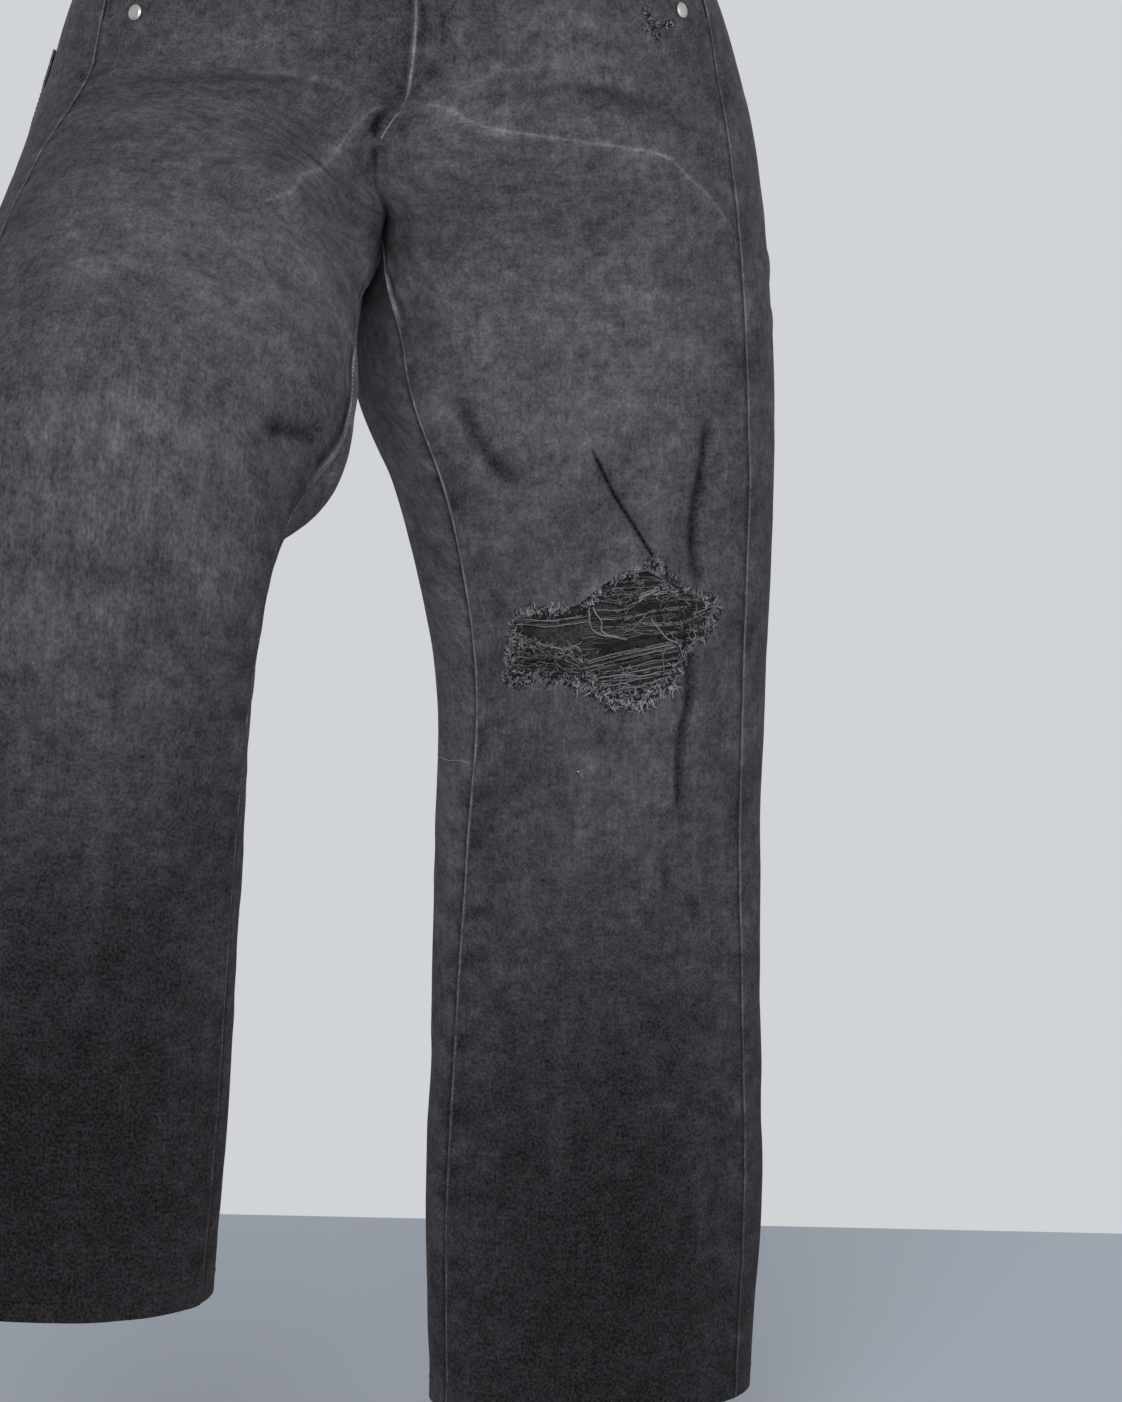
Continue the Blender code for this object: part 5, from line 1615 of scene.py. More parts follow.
# A band of weft yarns between two lines: how many, how far out, how light, how wavy, how thick.
Band = row_kind("Band", "count* out tone* wave radius upper~ lower~")
BANDS = table(
    Band,
    # the loose flap of weft across the middle and the right
    (32, -0.9, 0.066, 1.1, 0.3,
     (103, 481.5, 90, 482, 79, 481, 70, 480, 60, 479.5, 46, 478.5, 30, 479),
     (108, 501, 100, 500.5, 90, 499.5, 80, 497.2, 72, 495.5, 60, 493.5, 34, 490)),
    (5, -0.2, 0.12, 0.3, 0.26,
     (97, 485, 84, 485.2, 72, 483.2, 64, 481.5, 54, 480.6, 40, 479.5),
     (97, 486.2, 84, 486.4, 72, 484.6, 64, 483, 54, 482, 40, 480.6)),
    (6, 0, 0.105, 0.4, 0.26,
     (84, 490.5, 74, 491.5, 65, 492, 54, 492.8, 40, 491.5, 28, 485),
     (80, 492.5, 74, 493.2, 65, 494, 54, 494.5, 40, 493.5, 28, 486.5)),
    (5, -0.1, 0.11, 0.4, 0.24,
     (74, 486.8, 66, 488.5, 58, 489, 46, 487.5, 26, 481.5),
     (72, 488.5, 66, 490.3, 58, 490.5, 46, 489, 26, 482.8)),
    # the frayed cloth under the tear's upper edge
    (26, -0.2, 0.092, 1.3, 0.28,
     (97, 472, 88, 466.5, 79, 464, 70, 460.5, 62, 462, 53, 467, 44, 471.5, 30, 476),
     (100, 476, 89, 477.5, 80, 479, 70, 478.2, 60, 477.5, 50, 476, 40, 476.5, 28, 478.5)),
    (5, 0.6, 0.15, 0.6, 0.24,
     (74, 474, 66, 470, 58, 469.5, 50, 472.5),
     (74, 476.5, 66, 473.5, 58, 472.8, 50, 475)),
    # two drooping yarns along the slot's top
    (2, 0.4, 0.15, 0.2, 0.26,
     (147, 484.2, 130, 485.2, 115, 484.6, 102, 482.5),
     (147, 484.8, 130, 485.8, 115, 485.2, 102, 483.1)),
    (3, 0.7, 0.165, 0.2, 0.26,
     (146, 485.8, 130, 487.4, 118, 487.2, 103, 485.2),
     (146, 486.8, 130, 488.4, 118, 488.2, 103, 486.2)),
    # tangled yarns at the lower left
    (22, 0.3, 0.085, 1.2, 0.26,
     (148, 493.5, 139, 495, 129, 498.5, 118, 501, 108, 503, 102, 507),
     (149, 504, 138, 504.5, 128, 505, 118, 507, 110, 509, 103, 510.5)),
    (16, 0.3, 0.08, 1.2, 0.26,
     (149, 508.5, 138, 507, 128, 507.8, 118, 510, 108, 512),
     (149, 517, 138, 516, 128, 517.5, 118, 518, 106, 519)),
    # the bundle of parallel yarns below the slot
    (5, 0.5, 0.135, 0.2, 0.28,
     (107, 508, 92, 505, 80, 502.5, 68, 500.4, 56, 498.8, 46, 497.8),
     (107, 509.4, 92, 506.6, 80, 504.2, 68, 502, 56, 500.2, 46, 498.8)),
    (4, 0.3, 0.11, 0.3, 0.28,
     (105, 510.2, 92, 507.8, 80, 505.4, 68, 503.2, 56, 501.4, 46, 500),
     (105, 511.2, 92, 508.8, 80, 506.4, 68, 504.2, 56, 502.6, 46, 501.2)),
    (4, 0.4, 0.12, 0.3, 0.27,
     (104, 512, 92, 510.2, 80, 508.2, 68, 505.8, 56, 503.6, 48, 502.4),
     (104, 513, 92, 511.2, 80, 509.4, 68, 507, 56, 504.8, 48, 503.6)),
    (4, 0.6, 0.14, 0.4, 0.27,
     (104, 513.8, 90, 512.6, 80, 511, 70, 509.2, 58, 507.2, 46, 506.4),
     (104, 514.8, 90, 513.6, 80, 512, 70, 510.2, 58, 508.4, 46, 507.6)),
    (4, 0.5, 0.13, 0.4, 0.27,
     (104, 515.6, 90, 514.8, 78, 513.8, 68, 512.6, 56, 510.6, 46, 509.2),
     (104, 516.6, 90, 515.8, 78, 514.8, 68, 513.6, 56, 511.8, 46, 510.4)),
    (6, 0.6, 0.15, 0.6, 0.27,
     (106, 518, 92, 517, 80, 516, 68, 514.8, 56, 513.2, 46, 512),
     (104, 520, 92, 519.6, 80, 518.6, 68, 517.2, 58, 516, 48, 514)),
    (12, 0.4, 0.13, 0.9, 0.26,
     (100, 520.5, 88, 520.5, 76, 520, 66, 519, 56, 518),
     (96, 525, 88, 528, 76, 528, 68, 525, 58, 521)),
)

# Single yarns that loop or cross over the rest.
Strand = row_kind("Strand", "count* out tone* line~")
STRANDS = table(
    Strand,
    (2, 1.6, 0.16, (103.5, 478.5, 103, 483, 102.6, 486.8, 100.4, 491.2, 94.5, 494, 88, 495, 80, 496.5)),
    (2, 2, 0.168, (101, 479, 99, 482.6, 96.6, 485.4, 95.4, 488.2, 96, 490.5, 92, 493.8, 85, 494.8)),
    (2, 1.8, 0.16, (66, 486, 64, 488.5, 60, 493, 56, 496.5, 50, 499, 46, 501)),
    (1, 1.4, 0.136, (56, 500, 58.5, 506, 57.5, 511, 57, 517)),
    (1, 1.5, 0.144, (48, 500, 47, 503.5, 45.5, 507.5, 44.6, 510)),
    (1, 1.2, 0.136, (82, 493, 76, 490, 72, 486, 69, 483, 64, 481)),
    (2, 1.4, 0.152, (134, 496, 128, 499, 122, 499.5, 116, 501, 110, 499, 106, 504)),
    (1, 1.4, 0.144, (120, 499, 117, 503, 112, 505, 108, 509)),
    (2, 1, 0.12, (99, 480.5, 90, 481, 82, 480.5, 79, 478, 74, 477)),
    (1, 1.4, 0.168, (40, 484, 34, 482, 28, 480, 24, 479)),
    (1, 1.2, 0.152, (100, 521, 94, 519, 88, 520, 82, 519, 76, 521)),
)

# Black yarns over the pale weft as the dark cracks in it: painted shadow of the gaps, laid as black warp ends.
CRACK_SHADOW_YARNS = table(
    Strand,
    (4, 0.2, 0.01, (148, 483.2, 133, 483.6, 119, 483.2, 105, 481.4)),
    (5, 0, 0.01, (99, 500, 88, 498.8, 78, 496.5, 66, 494.5, 54, 493.8)),
    (4, 0.1, 0.01, (96, 487, 88, 488, 78, 487, 72, 485)),
    (4, 0.1, 0.01, (62, 486, 54, 486.5, 46, 485, 38, 482.5)),
    (3, 0.1, 0.012, (64, 491, 56, 491.5, 48, 490.5, 40, 488.5)),
    (3, 0.5, 0.01, (104, 510, 92, 507.5, 80, 505, 68, 502.8, 56, 501)),
    (3, 0.5, 0.01, (100, 515, 90, 514.2, 80, 513)),
    (3, 0.4, 0.012, (146, 514, 138, 512, 130, 513, 122, 513.5)),
    (3, 0.4, 0.012, (148, 498, 142, 499, 136, 501, 130, 502.5)),
    (3, 0.4, 0.012, (73, 464, 66, 465, 60, 468)),
    (5, 0.2, 0.01, (99, 473.5, 93, 475.2, 88, 476.8, 83, 478.5, 79, 479.5)),
    (5, 0.2, 0.01, (80, 480, 72, 479.5, 64, 478.8, 56, 478, 48, 477.5)),
    (3, 0.3, 0.012, (96, 470, 90, 471.5, 86, 473.5)),
    (4, 0.3, 0.012, (62, 463.5, 56, 467, 50, 470.5, 44, 473, 36, 475.5)),
    (3, 0.3, 0.012, (88, 464.5, 82, 464, 76, 462.5, 70, 460, 65, 456)),
    (4, 0.3, 0.01, (98, 512.5, 94, 512, 90, 511)),
    (5, 0.4, 0.01, (79, 510, 75, 509.2, 70, 508.2)),
    (4, 0.4, 0.01, (79, 514.8, 72, 513.8, 66, 512.4, 60, 511.8)),
    (5, 0.4, 0.01, (52, 495.5, 48, 495, 44, 494)),
    (3, 0.3, 0.012, (148, 506.2, 140, 506.2, 132, 505.8, 128, 505.2)),
    (3, 0.3, 0.012, (128, 509.5, 120, 510.5, 113, 511)),
    (4, 0.3, 0.012, (38, 479, 33, 479.5, 28, 480)),
    (3, 0.3, 0.012, (46, 486, 40, 485, 35, 483.8)),
)

# The frayed edge, run by run round the tear: fibres to each millimetre, their length, the way they lean (0
# towards the outseam, 90 towards the hem), how they spread and curl, and how light they are.
Fringe = row_kind("Fringe", "dense* length lean* spread* curl* tone* line~")
FRINGES = table(
    Fringe,
    (7, 4.2, -90, 30, 0.9, 0.19, (147, 484, 133, 482, 119, 481.5, 104, 480.5)),
    (5, 2.6, 90, 45, 1.2, 0.15, (147, 482.5, 133, 481, 119, 480.5, 104, 479.5)),
    (13, 3.4, -100, 70, 2.4, 0.185, (104, 479.5, 100, 475, 96, 471.5, 90, 470)),
    (13, 3.4, -95, 70, 2.4, 0.175, (90, 469, 87, 464, 80, 462.8, 72, 459)),
    (9, 3.4, -90, 80, 2.8, 0.14, (72, 459, 67, 455.5, 63, 456, 60, 461)),
    (7, 3.2, -60, 60, 2.4, 0.135, (60, 462, 54, 466, 47, 470, 40, 473.5)),
    (9, 3.6, -70, 70, 2.4, 0.17, (40, 474, 34, 475.2, 28, 475.5, 23, 476)),
    (10, 3, 10, 70, 2.2, 0.2, (23, 476, 22, 480, 26, 485.5)),
    (9, 4, 40, 70, 2.4, 0.165, (26, 485.5, 29, 493, 34, 498, 40, 502)),
    (9, 4.4, 60, 60, 2.2, 0.165, (40, 502, 45, 509, 46, 515, 51, 519.5)),
    (11, 5.2, 80, 60, 2.4, 0.2, (51, 519.5, 60, 523, 66, 526, 74, 528.5)),
    (13, 5.6, 85, 65, 2.8, 0.22, (62, 525, 72, 529, 80, 530.5, 88, 528)),
    (11, 5, 90, 60, 2.4, 0.2, (88, 525, 96, 522, 104, 520, 112, 518)),
    (9, 4.6, 95, 60, 2.4, 0.17, (112, 518, 122, 517, 134, 516, 148, 517)),
    (9, 3.6, 170, 60, 2.2, 0.16, (149, 517, 149.5, 505, 148.5, 495, 148, 485)),
    (7, 4, 20, 50, 2, 0.17, (149, 515, 149.5, 505, 148.5, 495, 147.5, 488)),
)

# Loose balls of fluff: where, how wide, how many fibres, and how light.
Tuft = row_kind("Tuft", "girth down radius count* tone*")
TUFTS = table(
    Tuft,
    (143, 496, 4.5, 90, 0.15),
    (135, 498.5, 3.5, 60, 0.13),
    (127, 500.5, 3.5, 50, 0.15),
    (114, 502, 4, 60, 0.15),
    (106, 506, 3.5, 50, 0.185),
    (145, 513, 4, 80, 0.19),
    (134, 514, 4.5, 80, 0.13),
    (123, 514.5, 4, 70, 0.14),
    (116, 516, 3.5, 70, 0.2),
    (107, 518, 4, 90, 0.18),
    (99, 519, 4, 90, 0.19),
    (88, 530, 3.5, 70, 0.19),
    (84, 529, 4, 100, 0.24),
    (76, 528, 3.5, 90, 0.23),
    (68, 524, 4, 80, 0.2),
    (62, 525, 3.5, 80, 0.18),
    (54, 518, 3.5, 70, 0.175),
    (50, 513, 4, 90, 0.18),
    (44, 506, 3.5, 60, 0.16),
    (40, 499, 4, 80, 0.16),
    (34, 493, 3.5, 70, 0.16),
    (29, 486, 3, 60, 0.165),
    (31, 476.5, 3, 70, 0.23),
    (24, 478, 3, 60, 0.2),
    (38, 474, 3, 50, 0.15),
    (101, 474, 3, 50, 0.17),
    (94, 470, 3, 50, 0.12),
    (87, 465, 3, 50, 0.12),
    (78, 463, 3, 50, 0.12),
    (66, 457.5, 3, 60, 0.12),
    (56, 469, 3, 40, 0.11),
)


def band_yarns(rng, band, steps=16):
    """One band's yarns, each with its own wander."""
    shares = np.linspace(0.0, 1.0, steps)
    upper, lower = along_line(band.upper, shares), along_line(band.lower, shares)
    lay = (np.arange(band.count) + rng.uniform(-0.35, 0.35, band.count)) / max(band.count - 1, 1)
    lay = np.clip(lay, 0.0, 1.0)[:, None]
    phase, beat = rng.uniform(0.0, 6.3, (2, band.count, 1)), rng.uniform(5.0, 16.0, (2, band.count, 1))
    wander = np.sin(phase[0] + beat[0] * shares) + 0.5 * np.sin(phase[1] + 2.1 * beat[1] * shares)
    girth = upper[0] + (lower[0] - upper[0]) * lay + 0.3 * band.wave * np.cos(phase[0] + beat[1] * shares)
    down = upper[1] + (lower[1] - upper[1]) * lay + band.wave * wander
    lift = np.sin(phase[1] + beat[0] * 0.7 * shares) * (0.00015 + 0.5 * band.wave)
    out = band.out + lift + rng.uniform(-0.0002, 0.0002, (band.count, 1))
    tones = band.tone * rng.choice(WEFT_TONES, band.count)
    radii = np.full(girth.shape, band.radius) * rng.uniform(0.8, 1.15, (band.count, 1))
    return girth, down, out, radii, tones


def strand_yarns(rng, strand, radius, steps=18):
    """A strand's yarns, side by side along its line and loosely twisted."""
    shares = np.linspace(0.0, 1.0, steps)
    line = along_line(strand.line, shares)
    apart = YARN_PITCH * (np.arange(strand.count) - (strand.count - 1) / 2.0)[:, None]
    phase = rng.uniform(0.0, 6.3, (strand.count, 1))
    turn, twist = phase + 14.0 * shares, 0.00012
    girth = line[0] + 0.3 * apart + twist * np.sin(turn)
    down = line[1] + apart + twist * np.cos(turn)
    ends = np.minimum(shares, 1.0 - shares)
    out = strand.out * ease(ends / 0.25) + 0.0002 + np.zeros_like(girth)
    tones = strand.tone * rng.uniform(0.9, 1.1, strand.count)
    return girth, down, out, np.full(girth.shape, radius), tones


def fibres(rng, girth, down, heading, length, curl, lift, radius, steps=6):
    """Short curling fibres that start at a place and head off over the cloth."""
    shares = np.linspace(0.0, 1.0, steps)
    turn = heading[:, None] + curl[:, None] * shares + 0.5 * np.sin(7.0 * shares + heading[:, None] * 3.0)
    stride = length[:, None] / (steps - 1)
    across = girth[:, None] - np.cumsum(np.cos(turn) * stride, axis=1)
    along = down[:, None] + np.cumsum(np.sin(turn) * stride, axis=1)
    out = lift[:, None] * np.sin(math.pi * (0.15 + 0.75 * shares)) + 0.0001
    radii = radius * (1.0 - 0.55 * shares)[None, :] * rng.uniform(0.8, 1.2, (len(girth), 1))
    return across, along, out, radii


def mixed_tones(rng, count, black=0.44):
    """Mostly pale weft ends, with black warp ends among them, which also stand in for the shadow between clumps
    as painted shadow.
    """
    pale = rng.uniform(0.55, 1.5, count)
    return np.where(rng.uniform(0.0, 1.0, count) < black, WARP_AND_SHADOW_TONE, pale)


def fringe_fibres(rng, fringe):
    """One run of the frayed edge, which comes in clumps."""
    line = np.array(smooth_line(fringe.line))
    length = float(np.hypot(*np.diff(line, axis=0).T).sum())
    count = int(0.56 * fringe.dense * length * 1000.0)
    girth, down = along_line(fringe.line, rng.uniform(0.0, 1.0, count))
    girth = girth + rng.normal(0.0, 0.0005, count)
    down = down + rng.normal(0.0, 0.0005, count)
    clump = lattice_noise(girth / 0.0028, down / 0.0028, 91)
    kept = clump > -0.25
    girth, down, clump = girth[kept], down[kept], clump[kept]
    count = len(girth)
    heading = np.radians(fringe.lean + rng.normal(0.0, fringe.spread / 2.0, count) + 40.0 * clump)
    reach = fringe.length * rng.uniform(0.45, 1.25, count) * (1.0 + 0.5 * clump)
    curl = rng.normal(0.0, 1.6 * fringe.curl, count)
    lift = rng.uniform(0.0003, 0.0016, count)
    paths = fibres(rng, girth, down, heading, reach, curl, lift, FRAY_RADIUS)
    return (*paths, fringe.tone * mixed_tones(rng, count) * (1.0 + 0.3 * clump))


def tuft_fibres(rng, tuft):
    """A loose ball of fluff."""
    count = int(0.55 * tuft.count)
    turn = rng.uniform(0.0, 2.0 * math.pi, count)
    far = 0.7 * tuft.radius * np.sqrt(rng.uniform(0.0, 1.0, count))
    girth, down = tuft.girth + far * np.cos(turn), tuft.down + far * np.sin(turn)
    heading = rng.uniform(0.0, 2.0 * math.pi, count)
    length = tuft.radius * rng.uniform(0.5, 1.4, count)
    lift = rng.uniform(0.0004, 0.0022, count)
    paths = fibres(rng, girth, down, heading, length, rng.normal(0.0, 3.6, count), lift, FRAY_RADIUS)
    return (*paths, tuft.tone * mixed_tones(rng, count))


# Loose fibres that lie across the tear: how many, their reach and tone, and the patch they are strewn on.
Snarl = row_kind("Snarl", "count* length lift tone* left right top bottom")
SNARLS = table(
    Snarl,
    (102, 4.2, 1.6, 0.12, 98, 48, 464, 479),
    (68, 5.5, 1.2, 0.11, 86, 30, 477, 490),
    (51, 5, 1.2, 0.105, 60, 28, 486, 496),
    (93, 6, 1.4, 0.12, 100, 46, 496, 522),
    (76, 5, 1.6, 0.11, 148, 104, 494, 513),
    (26, 4, 1, 0.12, 146, 104, 483, 488),
)


def snarl_fibres(rng, snarl):
    """Fibres strewn over a patch of the tear."""
    girth = rng.uniform(snarl.right, snarl.left, snarl.count)
    down = rng.uniform(snarl.top, snarl.bottom, snarl.count)
    kept = inside(girth, down, TEAR)
    girth, down = girth[kept], down[kept]
    count = len(girth)
    heading = rng.normal(0.0, 0.55, count) + math.pi * rng.integers(0, 2, count)
    length = snarl.length * rng.uniform(0.4, 1.5, count)
    lift = snarl.lift * rng.uniform(0.2, 1.0, count)
    paths = fibres(rng, girth, down, heading, length, rng.normal(0.0, 1.6, count), lift, SNARL_RADIUS)
    return (*paths, snarl.tone * mixed_tones(rng, count, 0.56))


def thread_piece(name, groups, material, sides):
    """One mesh from groups of threads (paths, radii, tones), each group with its own number of steps."""
    points, faces, tones, start = [], [], [], 0
    for paths, radii, tone in groups:
        shape, walls = tubes(paths, radii, sides)
        points.append(shape)
        faces.append(walls + start)
        tones.append(np.repeat(tone, paths.shape[1] * sides))
        start += len(shape)
    values = {"tone": np.concatenate(tones)}
    return register(add_mesh(name, np.vstack(points), np.vstack(faces), [material], values), "denim")


def yarn_piece(name, yarns):
    """One mesh of loose yarns, each group (girth, down, out, radii, tones)."""
    groups = [(yarn_paths(*yarn[:3]), *yarn[3:]) for yarn in yarns]
    return thread_piece(name, groups, THREAD, 4)


def make_tear():
    """The loose weft and black warp across the tear, the warp laid as the painted shadow of its cracks, and its
    frayed edge.
    """
    rng = np.random.default_rng(7)
    weft = [band_yarns(rng, band) for band in BANDS]
    weft += [strand_yarns(rng, strand, YARN_RADIUS) for strand in STRANDS]
    # Black warp yarns stand in for the shaded cracks in the weft, as painted shadow
    warp = [strand_yarns(rng, strand, YARN_RADIUS) for strand in CRACK_SHADOW_YARNS]
    fray = [fringe_fibres(rng, fringe) for fringe in FRINGES] + [tuft_fibres(rng, tuft) for tuft in TUFTS]
    fray += [snarl_fibres(rng, snarl) for snarl in SNARLS]
    return [yarn_piece("tear_weft", weft), yarn_piece("tear_crack_shadow", warp), yarn_piece("tear_fray", fray)]


TEAR_PIECES = make_tear()

# Stitching

PITCH = 0.0032
STITCH_LENGTH = 0.0025
SEAM_ROWS = (0.0022, 0.0078)
MOUTH_ROWS = (0.0018, 0.0075)
POCKET_ROWS = (0.0018, 0.0078)
POCKET_TOP_ROWS = (0.0018, 0.0125)
BAND_ROW = 0.0022
FLY_ROWS = (0.0, 0.0060)
HEM_ROW = 0.0125
TACK_PITCH = 0.0007
LEG_STITCH = 0.058
TOP_STITCH = 0.060

# A stitch's shape: shares of its length, and how far each stands off the cloth and how thick it is there
STITCH_SHARES = (0.0, 0.18, 0.5, 0.82, 1.0)
STITCH_RISE = (-0.00035, 0.00012, 0.00022, 0.00012, -0.00035)
STITCH_RADII = (0.00016, 0.00026, 0.00028, 0.00026, 0.00016)

Row = namedtuple("Row", "side line tone out pitch length", defaults=(0.0, PITCH, STITCH_LENGTH))


def row_of_stitches(rng, row):
    """Short raised stitches along a line of places, as (paths, radii, tones)."""
    points = np.array(row.line)
    run = np.concatenate([[0.0], np.hypot(*np.diff(points, axis=0).T).cumsum()])
    starts = np.arange(row.pitch * 0.3, run[-1] - row.length, row.pitch)
    starts = starts + rng.uniform(-0.08, 0.08, len(starts)) * row.pitch
    at = starts[:, None] + row.length * np.array(STITCH_SHARES)
    girth, down = np.interp(at, run, points[:, 0]), np.interp(at, run, points[:, 1])
    flat = girth.ravel(), down.ravel()
    height = relief(row.side, *flat)[0] + row.out + np.tile(STITCH_RISE, len(starts))
    paths = HALVES[row.side].at(*flat, height).reshape(*girth.shape, 3)
    shade = faded_tone_with_painted_light(row.side, girth[:, 2], down[:, 2]) / 0.08
    tones = row.tone * rng.uniform(0.8, 1.2, len(starts)) * shade
    return paths, np.tile(STITCH_RADII, (len(starts), 1)), tones


def beside_seam(side, front, inset, top, bottom, step=0.004):
    """A line that keeps its distance from an inner seam."""
    levels = np.arange(top, bottom + step / 2.0, step)
    end = HALVES[side].end(levels, front)
    return list(zip(end - inset if front else end + inset, levels))


def fly_line(inset, bottom=0.166):
    """The fly's curved stitching: down beside the zip, then in to the seam."""
    levels = np.linspace(BAND_HEIGHT + 0.001, bottom - inset * 0.5, 60)
    width = fly_width(levels) - inset
    return list(zip(HALVES[LEFT].end(levels, True) - width, levels))


def shifted(line, inset):
    """A line moved sideways by a constant distance, to its right as it runs."""
    points = np.array(smooth_line(line))
    along = np.gradient(points, axis=0)
    along /= np.linalg.norm(along, axis=1, keepdims=True)
    return [tuple(p) for p in points + np.stack([-along[:, 1], along[:, 0]], -1) * inset]


def yoke_line(side, inset):
    """A line above the yoke's seam."""
    shares = np.linspace(0.004, 0.996, 80)
    levels = yoke_down(shares) - inset
    return [(float(HALVES[side].end(d, False)) * s, d) for s, d in zip(shares, levels)]


def level_line(side, level, front, shares):
    """A level line from the outseam to the inner seam."""
    end = float(HALVES[side].end(level, front))
    return [(end * s, level) for s in shares]


def tack(side, girth, down, width, tall, length, tone, out, across=True):
    """A bar tack: close stitches side by side."""
    count = max(4, int((width if across else tall) / TACK_PITCH))
    rows = []
    for share in (np.arange(count) + 0.5) / count:
        if across:
            x = girth - width / 2.0 + width * share
            line = [(x, down - tall / 2.0), (x, down + tall / 2.0)]
        else:
            y = down - tall / 2.0 + tall * share
            line = [(girth - width / 2.0, y), (girth + width / 2.0, y)]
        rows.append(Row(side, line, tone, out, 0.02, length))
    return rows


def stitch_piece(name, rows):
    rng = np.random.default_rng(17)
    groups = [row_of_stitches(rng, row) for row in rows]
    return thread_piece(name, [group for group in groups if len(group[0])], STITCH, 3)


def leg_stitches(side):
    """Both rows beside the inseam, one beside the outseam's top, and the hem's."""
    rows = [Row(side, beside_seam(side, True, inset, 0.172, HEM - 0.001), LEG_STITCH) for inset in SEAM_ROWS]
    rows.append(Row(side, [(-0.0022, d) for d in np.arange(0.122, 0.205, 0.004)], LEG_STITCH))
    for front in (True, False):
        line = level_line(side, HEM - HEM_ROW, front, np.linspace(0.002, 0.998, 60))
        rows.append(Row(side, line, LEG_STITCH * 1.25))
    return rows


def top_stitches():
    """The pockets', yokes', waistband's, loops' and fly's stitches, and their bar tacks."""
    rows = []
    middle = np.mean(BACK_POCKET, axis=0)
    for side in (LEFT, RIGHT):
        for inset in MOUTH_ROWS:
            rows.append(Row(side, shifted(MOUTH, -inset), TOP_STITCH))
            rows.append(Row(side, yoke_line(side, inset + 0.0004), TOP_STITCH))
        for inset in POCKET_ROWS:
            ways = [middle - corner for corner in BACK_POCKET[:11]]
            line = [tuple(np.array(c) + way * inset / np.hypot(*way)) for c, way in zip(BACK_POCKET, ways)]
            rows.append(Row(side, line, TOP_STITCH, STEP + 0.0006))
        for inset in POCKET_TOP_ROWS:
            rows.append(Row(side, [(g, d + inset) for g, d in BACK_POCKET_TOP], TOP_STITCH, STEP + 0.0008))
        for level in (BAND_ROW, BAND_HEIGHT - BAND_ROW):
            for front in (True, False):
                rows.append(Row(side, level_line(side, level, front, np.linspace(0.002, 0.99, 70)), TOP_STITCH))
        rows += tack(side, 0.0050, 0.1215, 0.0020, 0.0070, 0.0065, TOP_STITCH * 1.2, 0.0006)
        for girth in (0.130, -0.104):
            for down in (0.0045, 0.0490):
                rows += tack(side, girth, down, 0.0100, 0.0022, 0.0021, TOP_STITCH * 1.3, CLOTH + 0.0010)
    for inset in FLY_ROWS:
        rows.append(Row(LEFT, fly_line(inset), TOP_STITCH * 1.35, 0.0006, PITCH * 0.85, STITCH_LENGTH * 0.85))
    for inset in SEAM_ROWS:
        rows.append(Row(LEFT, beside_seam(LEFT, False, inset, YOKE_CENTRE + 0.002, CROTCH - 0.004), TOP_STITCH))
    rows.append(Row(LEFT, beside_seam(LEFT, True, SEAM_ROWS[0], BAND_HEIGHT, 0.172), TOP_STITCH))
    level = 0.160
    girth = float(HALVES[LEFT].end(level, True)) - 0.0060
    return rows + tack(LEFT, girth, level, 0.0080, 0.0020, 0.0075, TOP_STITCH * 1.5, 0.0008, across=False)


STITCH_PIECES = [
    stitch_piece("stitches_left_leg", leg_stitches(LEFT)),
    stitch_piece("stitches_right_leg", leg_stitches(RIGHT)),
    stitch_piece("stitches_top", top_stitches()),
]

# Small marks: a worn-through corner below the left pocket, a caught thread and a fleck.

SCUFF_DARK = table(
    Strand,
    (3, 0.3, 0.012, (58, 112, 54.5, 116, 53, 119, 56, 122.5)),
    (3, 0.3, 0.012, (56, 122.5, 52, 124, 48, 123.5)),
    (2, 0.3, 0.014, (47, 124, 43, 121.5, 39, 120)),
)
SCUFF_TUFTS = table(
    Tuft,
    (56, 114, 2.2, 26, 0.17),
    (54, 119, 2.2, 30, 0.2),
    (56, 125, 2.4, 34, 0.16),
    (49, 122.5, 2.4, 34, 0.19),
    (43, 122.5, 2.2, 30, 0.22),
    (39, 121.5, 2, 24, 0.18),
    (51, 129, 2.2, 22, 0.15),
)
CAUGHT_THREAD = table(Strand, (1, 1.2, 0.24, (-293, 565.5, -301, 564, -310, 564.2, -319, 563.2, -326, 564)))
FLECK = table(Tuft, (107, 566, 0.8, 12, 0.4))[0]


def make_marks():
    """The scuffed spot, the caught thread and a pale fleck."""
    rng = np.random.default_rng(23)
    dark = [strand_yarns(rng, strand, SCUFF_RADIUS) for strand in SCUFF_DARK]
    pale = [tuft_fibres(rng, tuft) for tuft in SCUFF_TUFTS]
    thread = [strand_yarns(rng, CAUGHT_THREAD[0], CAUGHT_RADIUS)]
    pale.append(tuft_fibres(rng, FLECK))
    return [yarn_piece("scuff_warp", dark), yarn_piece("scuff_fray", pale), yarn_piece("caught_thread", thread)]


MARK_PIECES = make_marks()

# The room


def plain_material(name, colour, roughness):
    made, _, shader = new_material(name, roughness, specular=0.1)
    shader.inputs["Base Color"].default_value = (*colour, 1.0)
    return made


FLOOR_LEVEL = -1.040
FLOOR_WIDE = 4.0
FLOOR_END = 0.466
FLOOR_TURN = 0.206
FLOOR_COLOUR = (0.34, 0.37, 0.42)


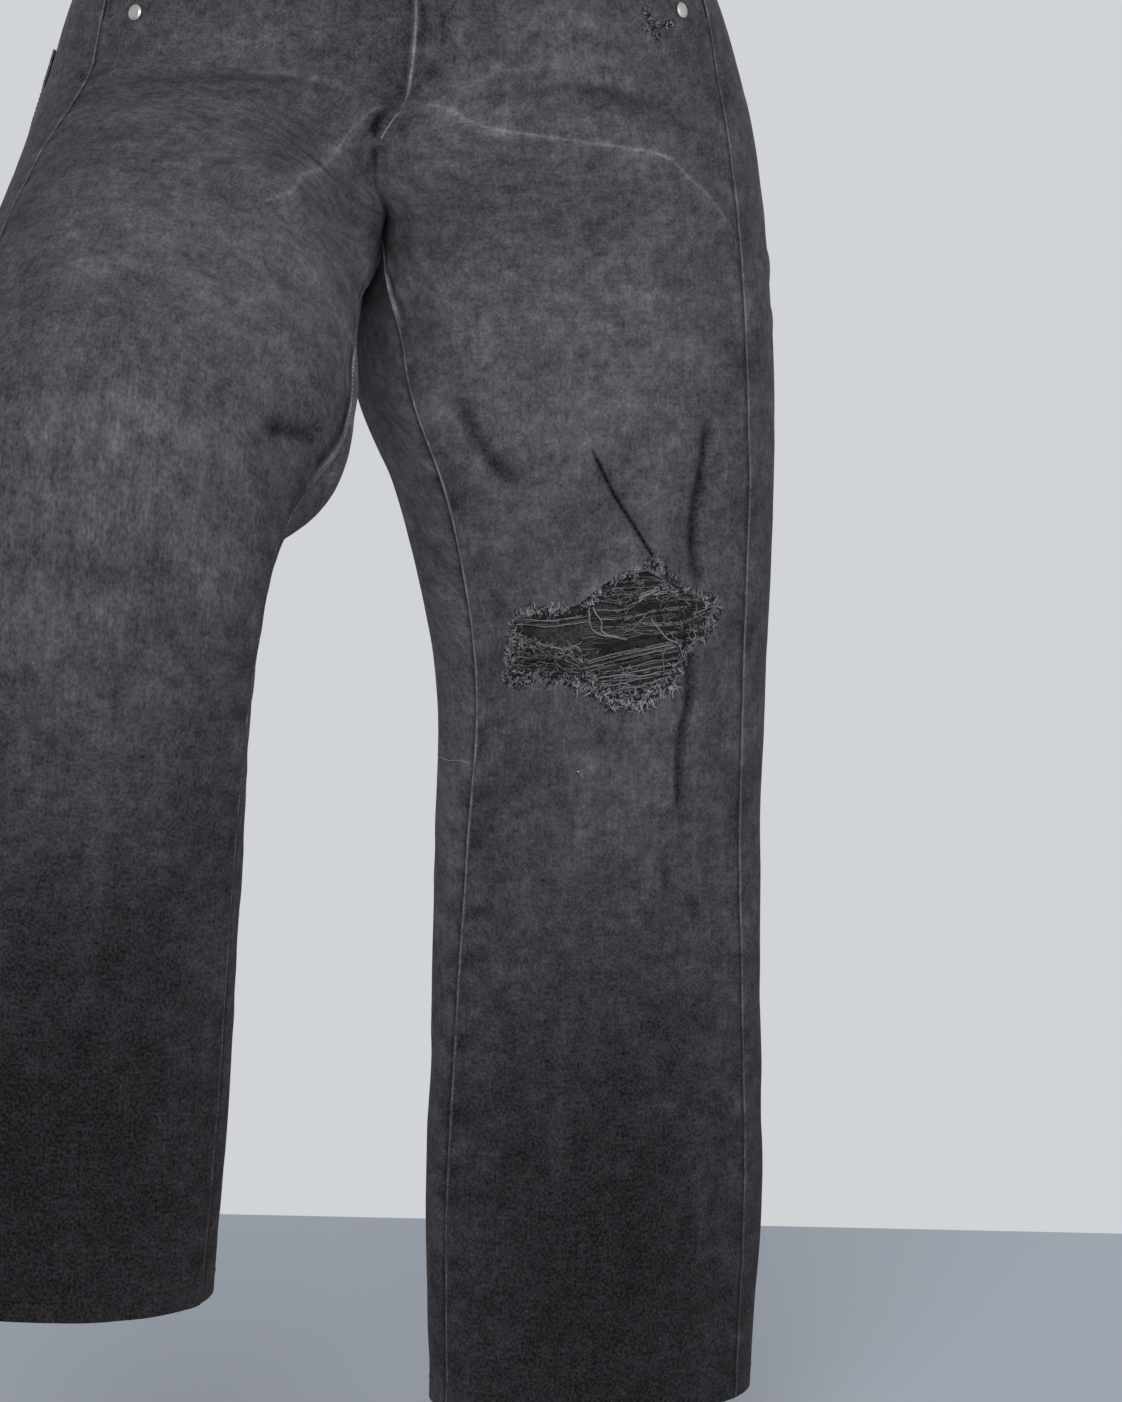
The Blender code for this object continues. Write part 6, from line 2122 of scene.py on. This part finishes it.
def make_floor():
    """A floor that ends behind the jeans, at a slight turn."""
    floor = bpy.data.meshes.new("floor")
    wide, turn = FLOOR_WIDE, FLOOR_TURN * FLOOR_WIDE
    corners = ((-wide, -wide), (wide, -wide), (wide, FLOOR_END - turn), (-wide, FLOOR_END + turn))
    floor.from_pydata([(x, y, FLOOR_LEVEL) for x, y in corners], [], [(0, 1, 2, 3)])
    floor.materials.append(plain_material("pale_floor", FLOOR_COLOUR, 0.9))
    add_object("floor", floor)


WALL = (0.640, 0.655, 0.680)
WORLD_LIGHT = 0.62


def make_world():
    """A pale wall to look at, and an even light that is the same from every side."""
    world = bpy.data.worlds.new("studio")
    bpy.context.scene.world = world
    world.use_nodes = True
    tree = world.node_tree
    tree.nodes.clear()
    path = node(tree, "ShaderNodeLightPath")
    seen = path.outputs["Is Camera Ray"]
    for ray in ("Is Transmission Ray", "Is Glossy Ray"):
        seen = calculate(tree, "MAXIMUM", seen, path.outputs[ray])
    mixed = node(tree, "ShaderNodeMixShader")
    wire(tree, seen, mixed.inputs[0])
    for k, (colour, strength) in enumerate((((1.0, 1.0, 1.0), WORLD_LIGHT), (WALL, 1.0))):
        light = node(tree, "ShaderNodeBackground")
        light.inputs["Color"].default_value = (*colour, 1.0)
        light.inputs["Strength"].default_value = strength
        wire(tree, light.outputs[0], mixed.inputs[k + 1])
    wire(tree, mixed.outputs[0], node(tree, "ShaderNodeOutputWorld").inputs[0])


LIGHT_AIM = (0.05, 0.0, -0.50)


def add_area(name, place, size, power):
    lamp = bpy.data.lights.new(name, "AREA")
    lamp.shape = "DISK"
    lamp.size = size
    lamp.energy = power
    made = add_object(name, lamp)
    made.location = place
    made.rotation_euler = (Vector(LIGHT_AIM) - Vector(place)).to_track_quat("-Z", "Y").to_euler()


def make_lights():
    add_area("key", (-0.9, -3.0, 1.1), 2.2, 66.0)
    add_area("fill", (2.4, -1.6, 0.4), 2.0, 14.0)
    add_area("back", (0.6, 2.8, 1.0), 2.0, 30.0)


CAMERA_AIM = (0.085, -0.100, -0.520)
CAMERA_DISTANCE = 2.30
CAMERA_AZIMUTH = -8.0
CAMERA_HEIGHT = 12.0
CAMERA_LENS = 98.86


def make_camera():
    camera = bpy.data.cameras.new("camera")
    camera.lens = CAMERA_LENS
    camera.sensor_width = 36.0
    camera.clip_start = 0.05
    turn, rise = math.radians(CAMERA_AZIMUTH), math.radians(CAMERA_HEIGHT)
    back = Vector((math.sin(turn) * math.cos(rise), -math.cos(turn) * math.cos(rise), math.sin(rise)))
    made = add_object("camera", camera)
    made.location = Vector(CAMERA_AIM) + back * CAMERA_DISTANCE
    made.rotation_euler = back.to_track_quat("Z", "Y").to_euler()
    bpy.context.scene.camera = made


make_floor()
make_world()
make_lights()
make_camera()
bpy.context.scene.view_settings.view_transform = "Standard"

for leg_side in (LEFT, RIGHT):
    with_leg = LEG_PIECES[leg_side][3:]
    if leg_side == LEFT:
        with_leg = with_leg + TEAR_PIECES + STITCH_PIECES + MARK_PIECES

bpy.context.view_layer.update()
